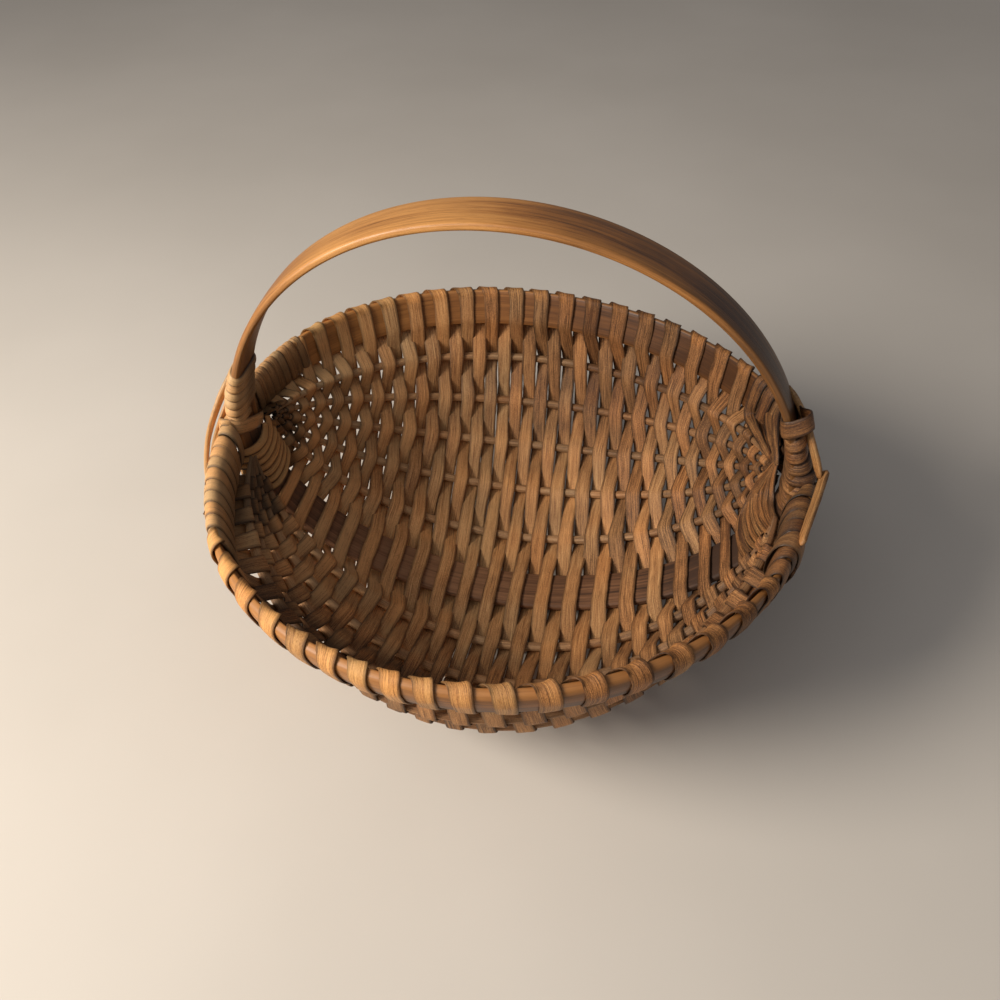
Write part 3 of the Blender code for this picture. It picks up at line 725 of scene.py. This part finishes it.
def hoop_data(rings, seed, low=None):
    """Closed loft of rings (points, outline)."""
    N, m = len(rings), len(rings[0][0])
    V = np.array([r[0] for r in rings])
    c = V.mean(1)
    u = np.concatenate(([0.0], np.cumsum(np.linalg.norm(np.diff(c, axis=0), axis=1))))
    across = np.array(rings[0][1])
    st = np.stack([np.repeat(u[:, None], m, 1), np.repeat(across[None, :, 1], N, 0), np.repeat(across[None, :, 0] * 0.6, N, 0)], -1)
    # tone: random wander plus the painted light and shade
    tone = 0.5 + 0.16 * wander(u, seed, 210.0) + (0.7 if low is None else 1.3) * painted_light_and_shade(c)
    painted_low_shade = np.zeros((N, m))
    if low is None:
        # painted shade: the rim's outside is darker towards its lower edge, at the front
        painted_low_shade = 0.55 * ease((-8.0 - V[..., 2]) / 7.0) * ease(-V[..., 1] / 30.0)
    else:
        # painted shade: the handle's hoop is darker towards its left end
        tone = tone - 1.25 * ease((-62.0 - c[:, 0]) / 60.0)
    low = np.zeros(N) if low is None else low
    tw = np.stack([np.repeat(tone[:, None], m, 1) - painted_low_shade, np.repeat(across[None, :, 2], N, 0), np.repeat(low[:, None], m, 1)], -1)
    return V.reshape(-1, 3), tube_faces(N, m, True), st.reshape(-1, 3), tw.reshape(-1, 3)


def handle_rings(n=300):
    out, low = [], []
    shape = round_box(HOOP_T / 2, HOOP_W / 2, 1.5)
    for i in range(n):
        a = 2 * PI * i / n
        wob = wander(np.array([a * 120.0]), 3, 160.0)[0] * math.sin(a / 2) ** 2
        pts = []
        for x, y, e in shape:
            k = 1 - 0.2 * (y / (HOOP_W / 2)) ** 2
            pts.append(hoop_point(a, HOOP_T / 2 + x * k, y * (1 + 0.012 * wob)))
        out.append((pts, shape))
        low.append(min(1.0, max(0.0, (-math.sin(a) - 0.02) / 0.12)))
    return out, np.array(low)


def rim_rings(n=340):
    out = []
    phis = []
    for j in range(28):
        phis.append(360 * (j + 0.5) / 28)
    for i in range(n):
        a = 2 * PI * i / n
        front = a > PI
        s = 2 * PI - a if front else a
        pts, shape = [], []
        for phi in phis:
            pts.append(rim_round(s, front, phi, 0.0))
            c, sn = math.cos(math.radians(phi)), math.sin(math.radians(phi))
            k = 2.6 if c >= 0 else 6.0
            shape.append((math.copysign(abs(c) ** (2 / k), c) * 3.0, math.copysign(abs(sn) ** (2 / k), sn) * RIM_H / 2, 1.0 if abs(sn) > 0.8 else 0.0))
        out.append((pts, shape))
    return out


rings, low = handle_rings()
piece("handle_hoop_wood", [hoop_data(rings, 5, low)], M_HOOP, ["handle_hoop"])
piece("rim_hoop_wood", [hoop_data(rim_rings(), 9)], M_RIM, ["rim_hoop"])


# ---- ribs --------------------------------------------------------------------------------------
def rib_data(i, front, seed):
    ss = np.concatenate([np.linspace(0.07, 0.3, 14)[:-1], np.linspace(0.3, PI - 0.3, 130), np.linspace(PI - 0.3, PI - 0.07, 14)[1:]])
    P = np.array([rib_curve(i, front, s) for s in ss])
    t = unit(np.gradient(P, axis=0))
    up = unit(np.cross(t, np.cross(t, (0.0, 0.0, 1.0))))
    sd = np.cross(t, up)
    m = 14
    u = np.concatenate(([0.0], np.cumsum(np.linalg.norm(np.diff(P, axis=0), axis=1))))
    R = np.array([rib_radius(s) for s in ss]) * (1 + 0.05 * wander(u, seed, 60.0))
    V, st, tw = [], [], []
    for j in range(m):
        a = 2 * PI * j / m
        flat = 1 - 0.1 * abs(math.sin(a)) ** 3 + 0.04 * wander(u, seed * 7 + j, 45.0)
        V.append(P + (up * math.sin(a) * 0.95 + sd * math.cos(a)) * (R * flat)[:, None])
        st.append(np.stack([u, R * 0 + 2.2 * math.cos(a) + (0.0 if math.sin(a) >= 0 else 7.0), u * 0 + seed * 1.37], -1))
        # tone and wear value carry painted light and shade
        tw.append(np.stack([0.5 + 0.25 * wander(u, seed + 9, 80.0) + painted_light_and_shade(P), deepen_painted_shade(P, u * 0 + 0.8), u * 0], -1))
    return np.stack(V, 1).reshape(-1, 3), tube_faces(len(ss), m, False), np.stack(st, 1).reshape(-1, 3), np.stack(tw, 1).reshape(-1, 3)


for front in (False, True):
    for i in range(5):
        nm = "rib_%s_%d" % ("front" if front else "back", i + 1)
        piece(nm + "_wood", [rib_data(i, front, 20 + i + (10 if front else 0))], M_RIB, [nm])

# ---- woven splints -------------------------------------------------------------------------------
path, starts, row_of = whole_weave()
U = path["u"]
row_at = np.interp(U, path["at"], row_of)
tone_row = np.random.RandomState(77).uniform(0.1, 0.9, ROWS + 1)
# painted light and shade in the tone and in the wear value
tone = np.interp(row_at, np.arange(ROWS + 1), tone_row) * 0.45 + 0.34 + 0.2 * wander(U, 4, 150.0) + painted_light_and_shade(path["P"])
wear_with_shade = deepen_painted_shade(path["P"], path["wear_and_shade"])
roll = path["roll"] + np.radians(4.0) * wander(U, 8, 33.0)
t_, S_, N_ = frames_of(path["P"], path["S"])
P = path["P"] + S_ * (0.2 * wander(U, 21, 48.0))[:, None]
cuts = [np.searchsorted(U, path["at"][i]) for i in starts] + [len(U) - 1]
for n in range(len(cuts) - 1):
    a, b = cuts[n], cuts[n + 1] + 1
    idx = np.arange(a, b, 2)
    if idx[-1] != b - 1:
        idx = np.append(idx, b - 1)
    data = ribbon_data(P[idx], path["S"][idx], path["W"][idx], SPLINT_T, tone[idx], wear_with_shade[idx], 300 + n, u0=U[a], tilt=roll[idx])
    piece("splint_%02d" % (n + 1), [data], M_SPLINT, ["weaver_%02d" % (n + 1)])


# ---- wrappings at the ears -----------------------------------------------------------------------
def ribbon_through(points, sides, width, seed, tone=0.5, thick=SPLINT_T, sigma=1.2, taper=0.0, wear_and_shade=0.8, outward=None, section=FLAT):
    w = width if hasattr(width, "__len__") else [width] * len(points)
    wr = wear_and_shade if hasattr(wear_and_shade, "__len__") else [wear_and_shade] * len(points)
    stations = [(np.asarray(p, float), np.asarray(s, float), ww, x, 0.0) for p, s, ww, x in zip(points, sides, w, wr)]
    fl = flow(stations, 0.6, sigma, 2.0)
    n = len(fl["u"])
    idx = np.arange(0, n, 2)
    if idx[-1] != n - 1:
        idx = np.append(idx, n - 1)
    # painted light and shade in the tone
    tn = tone + 0.2 * wander(fl["u"], seed + 2, 60.0) + painted_light_and_shade(fl["P"])
    ow = None
    if outward is not None:
        o = np.asarray(outward, float)
        ow = np.stack([np.interp(fl["u"], fl["at"], o[:, c]) for c in range(3)], 1)[idx]
    return ribbon_data(fl["P"][idx], fl["S"][idx], fl["W"][idx], thick, tn[idx], fl["wear_and_shade"][idx], seed, taper=taper, outward=ow, section=section)


def side_s(side, s):
    """Angle along the rim measured from the left (-1) or right (1) ear."""
    return s if side > 0 else PI - s


def rim_coil(side, front, s0, s1, pitch, width, seed, lean=0.1, thick=1.8, outer=0.4, inner=(1.0, 1.0), tone=0.55, turns=None, rise=0.0, end=2.4):
    """Close wrapping round the rim and what lies along it: outer and inner say how far it stands off the rim's two faces."""
    b = RIM_FRONT if front else RIM_BACK
    turns = turns or max(2, int(round((s1 - s0) * b / pitch)))
    phis = (0, 32, 62, 90, 118, 148, 180, 215, 270, 325)
    pts, sds, ows, painted_side_shade = [], [], [], []
    total = turns * len(phis)
    r = np.random.RandomState(seed)
    drift = r.uniform(-0.17, 0.17, turns + 1) * pitch / b
    puff = r.uniform(0.95, 1.05, turns + 1)

    def at(share, phi, turn):
        s = side_s(side, s0 + (s1 - s0) * share + drift[turn])
        share = 0.3 if turns == 1 else share
        top, out, down = rim_frame(min(max(s, 0.0), PI), front)
        c, sn = math.cos(phi), math.sin(phi)
        a_out = rim_t(s) / 2 + crown(s) + 0.7 + outer * puff[turn]
        swell = min(1.0, 0.35 + max(share, 0.0) / 0.2) * (1 - max(share, 0.0) ** end)
        a_in = rim_t(s) / 2 + 0.8 + (inner[1] + (inner[0] - inner[1]) * swell) * puff[turn]
        mid, half = (a_out - a_in) / 2, (a_out + a_in) / 2
        x = mid + math.copysign(abs(c) ** 0.85, c) * half
        y = math.copysign(abs(sn) ** 0.8, sn) * (RIM_H / 2 + 1.1 + rise)
        centre = top + out * mid + down * (RIM_H / 2)
        return top + out * x + down * (RIM_H / 2 - y), centre, c, sn

    for j in range(total + 1):
        phi, turn, share = math.radians(phis[j % len(phis)]), j // len(phis), j / total
        p, centre, c, sn = at(share, phi, turn)
        e = 0.25 / turns
        outward = unit(p - centre)
        pts.append(p)
        sds.append(unit(at(share + e, phi, turn)[0] - at(share - e, phi, turn)[0]) + outward * lean)
        ows.append(outward)
        # painted shade: the outer and top faces keep the full value, the upper inner face is darker and the rest of the
        # inner and lower faces darker still
        painted_side_shade.append(1.0 if c > -0.2 and sn > -0.2 else (0.3 if sn > 0.3 else -0.35))
    return ribbon_through(pts, sds, width, seed, tone=tone, thick=thick, outward=ows, section=ROUND, wear_and_shade=painted_side_shade)


def leg_wraps(side, z0, z1, pitch, width, seed, reach, lean=0.22, thick=1.9, tone=0.55, slope=0.0):
    """Wrapping round a leg of the handle between z0 and z1, wide enough for what stands beside the leg (reach)."""
    ring = []
    for phi in range(0, 360, 30):
        c, sn = math.cos(math.radians(phi)), math.sin(math.radians(phi))
        ring.append((math.copysign(abs(c) ** 0.62, c), math.copysign(abs(sn) ** 0.62, sn)))
    turns = (z1 - z0 - width) / pitch
    total = int(round(turns * len(ring)))
    pts, sds, ows, painted_side_shade = [], [], [], []
    for j in range(total + 1):
        c, sn = ring[(j + 6) % len(ring)]
        z = z0 + width / 2 + (z1 - z0 - width) * j / total
        half = (HOOP_T + reach(z)) / 2 + 0.7
        y = sn * (HOOP_W / 2 + 0.6)
        n = (HOOP_T + reach(z)) / 2 + c * half
        z += slope * y
        a = math.asin(min(1.0, max(-0.3, (z - HOOP_Z0) / HOOP_UP)))
        a = PI - a if side < 0 else a
        p = hoop_point(a, n, y)
        mid = hoop_point(a, (HOOP_T + reach(z)) / 2, 0.0)
        d = unit(hoop_curve(a + 0.01) - hoop_curve(a - 0.01)) * (1 if side > 0 else -1)
        outward = unit(p - mid)
        pts.append(p)
        sds.append(-d + outward * lean)
        ows.append(outward)
        # painted shade: the outer face and front edge keep the full value, the inner face and back edge are darkened
        painted_side_shade.append(1.0 if sn < -0.5 or c > 0.3 else -0.2)
    return ribbon_through(pts, sds, width, seed, tone=tone, thick=thick, outward=ows, section=ROUND, sigma=1.6, wear_and_shade=painted_side_shade)


def strand(points, width, seed, thick, tone, centre, lift=0.0, lean=0.0):
    """A rounded strand through points, its crown facing centre and its width square to both."""
    P = np.array(points, float)
    t = unit(np.gradient(P, axis=0))
    inward = unit(np.asarray(centre, float) - P)
    side_ = unit(np.cross(t, inward))
    return ribbon_through(list(P + inward * lift), list(side_ + inward * lean), width, seed, tone=tone, thick=thick, sigma=2.6, outward=inward, section=ROUND, wear_and_shade=0.8)


def ear_row(k, seed, tone_):
    """One of the last rows before an ear, from the back rim to the hoop, behind the wrappings."""
    rows = row_stations(k)
    fl = settle(rows[: next(i for i, q in enumerate(rows) if q[0][1] < 6.0)])
    n = len(fl["u"])
    idx = np.append(np.arange(0, n - 1, 2), n - 1)
    # painted light and shade in the tone and in the wear value
    tn = np.full(len(idx), tone_) + painted_light_and_shade(fl["P"][idx])
    return ribbon_data(fl["P"][idx], fl["S"][idx], fl["W"][idx], SPLINT_T, tn, deepen_painted_shade(fl["P"], fl["wear_and_shade"])[idx], seed, tilt=fl["roll"][idx])


def drape(s, seed, tone_):
    """A splint over the back rim beside the right ear that runs down to the tips of the ribs."""
    tip = np.array((120.2, 13.0 + 9.0 * (s - 0.2), -10.0 - 10.0 * (s - 0.2)))
    centre = np.array((50.0, 10.0, 50.0))
    pts = [rim_round(s, False, phi, 2.4) for phi in (20, 50, 80, 110, 140)]
    ows = [unit(p - rim_middle(s, False)) for p in pts]
    for v, u in ((7.0, 2.6), (13.0, 2.6), (19.0, 2.8)):
        pts.append(rim_face(s, False, -1, u, v))
        ows.append(unit(centre - pts[-1]))
    low_ = pts[-1]
    for f_, b in ((0.35, 1.2), (0.7, 1.0), (1.0, 0.0)):
        q = low_ + (tip - low_) * f_
        pts.append(q + unit(centre - q) * b)
        ows.append(unit(centre - q))
    P = np.array(pts)
    O = np.array(ows)
    O = unit(gauss(O, 1.0, 1.0))
    sd = np.cross(unit(np.gradient(P, axis=0)), O)
    ws = [8.2, 8.2, 8.2, 8.0, 7.8, 7.6, 7.2, 6.4, 4.8, 3.4, 2.0]
    return ribbon_through(pts, list(sd), ws, seed, tone=tone_, thick=1.4, sigma=2.2, outward=O, section=ROUND, wear_and_shade=0.7)


SIDE = {"left": -1, "right": 1}
coils = {
    ("left", "front"): (0.075, 0.67, 7.4, 8.6, 0.64, -0.45, (6.3, 0.4)),
    ("left", "back"): (0.09, 0.50, 5.1, 5.6, 0.2, 0.2, (1.4, 0.5)),
    ("right", "front"): (0.10, 0.50, 8.2, 9.4, 0.6, 0.1, (6.6, 0.7)),
    ("right", "back"): (0.08, 0.52, 7.0, 7.6, 0.5, 0.2, (0.4, 0.4)),
}
for n, ((ear, way), (s0, s1, pitch, width, tone_, outer, inner)) in enumerate(coils.items()):
    parts = [rim_coil(SIDE[ear], way == "front", s0, s1, pitch, width, 500 + 7 * n, tone=tone_, outer=outer, inner=inner, lean=0.06)]
    if (ear, way) == ("right", "front"):
        # one wide turn over the rest, which also holds the loose strip's end
        parts.append(rim_coil(1, True, 0.345, 0.372, 8.0, 10.0, 541, tone=0.85, outer=1.1, inner=(5.1, 5.1), turns=1, rise=0.5))
    piece("rim_wrap_%s_%s" % (ear, way), parts, M_LASH, ["rim_binding_%s_%s" % (ear, way)])

# the rounded strands that close the corner between hoop and ribs at the left ear
FAN_LEFT = [
    [(-123.8, 5.8, -14.0), (-123.4, 4.8, -17.4), (-123.0, 0.7, -20.1), (-123.5, -5.9, -19.7), (-125.3, -13.5, -17.3), (-128.5, -17.5, -15.5)],
    [(-125.0, 12.6, -15.5), (-122.5, 8.2, -19.8), (-122.0, 2.2, -23.1), (-122.5, -7.7, -23.1), (-125.0, -15.7, -19.9), (-128.5, -19.0, -18.0)],
    [(-125.5, 14.6, -19.0), (-121.3, 10.2, -23.9), (-120.8, 1.6, -26.3), (-121.7, -7.3, -26.6), (-124.4, -16.2, -23.2), (-128.0, -19.5, -21.0)],
    [(-125.0, 14.9, -22.5), (-120.5, 10.7, -27.4), (-119.6, 1.8, -30.3), (-120.7, -7.9, -30.2), (-123.8, -16.8, -26.4), (-127.5, -20.0, -24.0)],
    [(-124.5, 15.1, -25.5), (-119.6, 10.9, -30.7), (-118.5, 0.3, -34.0), (-119.6, -8.4, -33.8), (-122.8, -17.1, -29.9), (-127.0, -20.5, -27.0)],
    [(-123.5, 15.6, -28.5), (-118.8, 11.8, -33.4), (-117.3, 1.2, -37.3), (-118.2, -8.0, -37.4), (-121.2, -15.7, -34.6), (-125.5, -19.5, -32.0)],
    [(-122.5, 15.8, -32.0), (-117.3, 11.9, -37.2), (-116.1, 0.8, -40.6), (-116.8, -7.8, -41.0), (-119.8, -15.8, -38.5), (-124.0, -19.0, -36.0)],
]
arcs = []
r = np.random.RandomState(40)
for j, pts in enumerate(FAN_LEFT):
    arcs.append(strand(pts, [3.6, 4.2, 4.6, 4.6, 4.2, 3.6], 600 + 13 * j, 2.7, r.uniform(0.35, 0.85), (-40.0, -10.0, 60.0)))
# the low tone of these rows paints the shade of the hollow behind the wrappings
arcs += [ear_row(ROWS + j, 660 + j, 0.25) for j in range(3)]
piece("ear_fan_left", arcs, M_FAN)

# the fine strands that run from the ribs' tips across the hoop at the right ear
TIP_RIGHT = (121.0, 10.5, -7.0)
FAN_RIGHT = [
    [(120.8, 9.2, -6.6), (120.7, 7.8, -14.0), (121.0, 5.8, -20.8), (121.2, 0.3, -25.1), (121.6, -9.1, -23.1), (122.3, -19.0, -18.3)],
    [(119.7, 9.8, -13.4), (119.1, 8.5, -23.0), (118.8, 2.3, -26.8), (120.2, -8.5, -25.2), (122.1, -20.6, -19.8)],
    [(119.3, 12.0, -18.5), (117.5, 14.1, -29.7), (117.4, 6.7, -31.8), (118.6, -2.5, -31.2), (121.3, -17.2, -24.6)],
    [(119.1, 12.9, -20.0), (116.1, 16.3, -32.5), (115.7, 8.8, -35.4), (117.4, -1.7, -34.8), (120.3, -15.1, -28.8)],
    [(118.4, 13.5, -21.2), (114.9, 16.4, -36.1), (114.7, 7.8, -37.9), (116.7, -4.1, -36.5), (119.4, -15.6, -31.7)],
    [(117.9, 15.5, -23.8), (113.8, 16.1, -38.6), (113.3, 6.6, -41.0), (115.4, -5.8, -39.7), (118.5, -17.0, -34.4)],
    [(117.4, 17.3, -26.2), (112.8, 14.9, -41.0), (111.9, 5.9, -43.9), (114.0, -7.1, -42.6), (117.0, -15.9, -38.4)],
    [(116.9, 19.0, -28.4), (111.4, 14.2, -43.9), (110.8, 3.7, -45.9), (112.6, -8.0, -45.3), (116.0, -18.4, -40.6)],
    [(116.0, 20.8, -31.4), (110.6, 12.0, -45.3), (109.7, 2.7, -47.9), (111.2, -7.7, -47.9), (114.6, -19.8, -43.4)],
]
arcs = []
for j, pts in enumerate(FAN_RIGHT):
    last = np.array(pts[-1])
    pts = [TIP_RIGHT] + pts[(1 if j == 0 else 0) :] + [tuple(last + (3.5, -3.5, 2.5))]
    ws = [2.4] + [3.3] * (len(pts) - 2) + [3.0]
    arcs.append(strand(pts, ws, 820 + 13 * j, 2.0, r.uniform(0.35, 0.8), (40.0, -10.0, 60.0)))
# the low tone of these rows paints the shade of the hollow behind the wrappings
arcs += [ear_row(-1 - j, 680 + j, 0.4) for j in range(3)]
arcs += [drape(s_, 700 + n, t_) for n, (s_, t_) in enumerate(((0.50, 0.55), (0.43, 0.35), (0.36, 0.6), (0.29, 0.4), (0.22, 0.5)))]
for n, (pts, ws) in enumerate((
    ([(124.0, 43.0, 2.5), (120.5, 40.6, -1.8), (119.5, 30.5, -2.4), (119.8, 20.5, -3.6), (120.6, 12.0, -5.4), (121.2, 9.0, -8.5)], [4.0, 4.6, 4.6, 4.0, 3.0, 2.4]),
    ([(122.5, 56.0, -2.0), (119.0, 53.8, -8.1), (118.0, 42.0, -8.7), (118.4, 28.3, -7.9), (120.0, 16.1, -6.6), (121.0, 9.0, -7.5)], [4.4, 5.2, 5.2, 4.4, 3.2, 2.4]),
)):
    arcs.append(strand(pts, ws, 760 + 9 * n, 1.6, 0.5 + 0.2 * n, (50.0, 0.0, 50.0)))
piece("ear_fan_right", arcs, M_FAN)

piece("handle_wrap_left", [leg_wraps(-1, -3.0, 27.5, 4.6, 4.9, 811, lambda z: min(1.6, max(0.1, (26.0 - z) * 0.12)), slope=0.05, lean=0.3, thick=2.3)], M_LASH, ["handle_lashing_left"])
piece("handle_wrap_right", [leg_wraps(1, -22.0, 25.5, 6.0, 6.3, 823, lambda z: 2.0 + max(0.0, min(7.5, (12.0 - z) * 0.42)), slope=-0.05, lean=0.28, thick=2.2)], M_LASH, ["handle_lashing_right"])


def tie_data(side, seed):
    """The splint laid on the slant round the hoop and rim where they cross."""
    x_in = abs(hoop_curve(PI if side < 0 else 0.0)[0]) - 1.0
    x_out = RIM_HALF + RIM_T_EAR / 2 + 1.8
    up, low = np.array((0.0, -14.6, -1.5)), np.array((0.0, 14.8, -17.5))
    slant = unit(up - low)
    across = unit(np.cross(slant, (1.0, 0.0, 0.0)))
    pts, sds, ows = [], [], []
    mid = np.array((side * (x_in + x_out) / 2, 0.0, -8.0))
    for x, p in ((x_out, (up + low) / 2 + slant * 2.0), (x_out, up - slant * 3.5), (x_out - 3.5, up), (x_in + 3.5, up), (x_in, up - slant * 3.5), (x_in - 0.9, (up + low) / 2), (x_in, low + slant * 3.5), (x_in + 3.5, low), (x_out - 3.5, low), (x_out + 0.3, low + slant * 3.5), (x_out + 1.0, (up + low) / 2 + slant * 3.0)):
        q = np.array((side * x, p[1], p[2]))
        pts.append(q)
        sds.append(across)
        ows.append(unit(q - mid))
    return ribbon_through(pts, sds, 7.4, seed, tone=0.5, sigma=2.0, thick=1.7, outward=ows, section=ROUND)


def top_band(seed):
    """The highest turn at the right ear, which also holds the loose strip."""
    pts, sds, ows = [], [], []
    z = 29.0
    a = math.asin((z - HOOP_Z0) / HOOP_UP)
    mid = hoop_point(a, 4.5, 0.0)
    for n, y, dz in ((5.6, 4.0, 0.6), (5.4, 9.0, 0.6), (3.8, 12.3, 0.5), (0.8, 12.5, 0.4), (-1.1, 9.5, 0.3), (-1.2, 0.0, 0.0), (-1.1, -9.6, -0.5), (0.8, -12.7, -0.8), (5.0, -13.0, -0.6), (9.4, -12.2, 0.2), (11.6, -9.6, 1.0), (10.6, -6.0, 1.2), (7.8, -2.6, 1.0), (6.4, 2.0, 0.8), (6.0, 7.0, 0.7)):
        p = hoop_point(a - 0.003 * (y + 12.0), n, y) + (0.0, 0.0, dz)
        pts.append(p)
        o = unit(p - mid)
        sds.append(np.array((-0.25, 0.0, 1.0)) - 0.1 * o)
        ows.append(o)
    return ribbon_through(pts, sds, 8.6, seed, tone=0.5, sigma=1.8, thick=1.4, outward=ows, section=FLAT)


piece("ear_cross_left", [tie_data(-1, 841)], M_LASH, ["ear_tie_left"])
piece("ear_cross_right", [top_band(861)], M_LASH, ["ear_tie_right"])


def strip_data(points, height, thick, seed, tone=0.6, lean=(0.0, 0.0, 1.0), taper=4.0):
    out = [(p[0], p[1] * 0.5, 0.0) for p in points]
    return ribbon_through(points, [lean] * len(points), height, seed, tone=tone, thick=thick, sigma=3.0, taper=taper, outward=out)


piece("loose_fibre", [ribbon_through([(57.4, 46.6, -101.5), (57.9, 45.6, -99.0), (63.2, 32.2, -97.4), (67.4, 19.6, -97.0), (70.9, 8.9, -98.2), (72.6, 4.2, -100.8)], [(0.9, 0.4, 0.2)] * 6, 0.7, 907, tone=0.1, thick=0.6, taper=6.0, wear_and_shade=-0.3)], M_STRIP)

piece("ear_strip_left_wood", [
    strip_data([(-128.0, 12.0, 24.0), (-131.5, 9.0, 18.5), (-135.6, 5.0, 12.0), (-139.4, -1.5, 5.0), (-141.2, -9.0, -1.5), (-141.0, -18.0, -5.5), (-138.8, -27.0, -8.5), (-135.4, -36.0, -10.0), (-132.0, -43.0, -10.5)], 4.2, 2.0, 871, 0.85),
    strip_data([(-129.0, 9.0, 17.0), (-132.6, 5.0, 10.0), (-135.6, 0.0, 3.5), (-138.0, -8.0, -3.0), (-138.2, -17.0, -7.0), (-136.4, -26.0, -9.0), (-133.4, -35.0, -10.0)], 4.0, 1.6, 877, 0.3),
], M_STRIP, ["ear_strip_left"])
piece("ear_strip_right_wood", [
    strip_data([(118.2, 10.0, 35.6), (121.8, 6.0, 32.0), (124.9, 2.0, 29.0), (127.2, -3.0, 26.4), (129.2, -8.0, 22.5), (131.9, -11.0, 16.5), (134.9, -13.0, 9.7), (135.6, -14.0, 6.5)], [2.4, 2.8, 3.2, 3.6, 3.9, 4.0, 3.9, 3.6], 2.0, 883, 0.95, lean=(0.5, -0.5, 0.6)),
], M_STRIP, ["ear_strip_right"])
piece("ear_strip_right_end_wood", [
    strip_data([(138.0, -10.5, 8.2), (137.1, -14.5, 6.2), (135.2, -22.0, 4.6), (132.7, -31.5, 3.4), (129.7, -42.0, 2.2), (127.6, -50.0, 0.8)], [4.2, 4.8, 4.9, 4.9, 4.7, 4.4], 2.4, 887, 0.9, lean=(0.55, -0.1, 0.8), taper=1.2),
], M_STRIP, ["ear_strip_right_end"])


# ---- the room ----------------------------------------------------------------------------------
def plain_floor():
    me = bpy.data.meshes.new("floor")
    rim = [(4.6 * math.cos(a), 4.6 * math.sin(a), 0.0) for a in np.arange(120) * PI / 60]
    me.from_pydata(rim, [], [tuple(range(120))])
    ob = bpy.data.objects.new("floor", me)
    bpy.context.scene.collection.objects.link(ob)
    g = Graph("pale_cloth")
    pos = g.node("ShaderNodeTexCoord").outputs["Object"]
    n = g.noise(pos, 3.0, 4.0, 0.5)
    g.link(g.ramp(n, [(0.3, srgb(202, 194, 183)), (0.7, srgb(213, 205, 194))]), g.bsdf.inputs["Base Color"])
    g.bsdf.inputs["Roughness"].default_value = 0.9
    g.bsdf.inputs["Specular IOR Level"].default_value = 0.2
    ob.data.materials.append(g.mat)
    ob.location = (0, 0, -0.0008)


plain_floor()


def area(name, where, target, size, energy, colour):
    li = bpy.data.lights.new(name, "AREA")
    li.shape = "DISK"
    li.size = size
    li.energy = energy
    li.color = colour
    ob = bpy.data.objects.new(name, li)
    ob.location = where
    ob.rotation_mode = "QUATERNION"
    ob.rotation_quaternion = (Vector(target) - Vector(where)).to_track_quat("-Z", "Y")
    bpy.context.scene.collection.objects.link(ob)


area("key_light", (-0.68, -0.48, 0.64), (0.0, 0.0, 0.05), 0.5, 12.5, (1.0, 0.93, 0.84))
area("fill_light", (-0.5, -0.85, 1.15), (0.0, 0.0, 0.05), 1.4, 4.5, (0.97, 0.97, 1.0))
world = bpy.data.worlds.new("room")
bpy.context.scene.world = world
world.use_nodes = True
world.node_tree.nodes["Background"].inputs["Color"].default_value = (0.95, 0.95, 1.0, 1.0)
world.node_tree.nodes["Background"].inputs["Strength"].default_value = 0.17
bpy.context.scene.view_settings.view_transform = "Standard"

cam = bpy.data.cameras.new("camera")
cam.lens, cam.sensor_width = 35.995, 36.0
co = bpy.data.objects.new("camera", cam)
fw = Vector((-0.1358, 0.7113, -0.6896)).normalized()
rt = Vector((0.984, 0.1781, -0.0101))
rt = (rt - fw * rt.dot(fw)).normalized()
up = rt.cross(fw)
m = Matrix((rt, up, -fw)).transposed().to_4x4()
m.translation = Vector(place((60.74, -347.36, 294.84)))
co.matrix_world = m
cam.clip_start, cam.clip_end = 0.01, 50.0
bpy.context.scene.collection.objects.link(co)
bpy.context.scene.camera = co
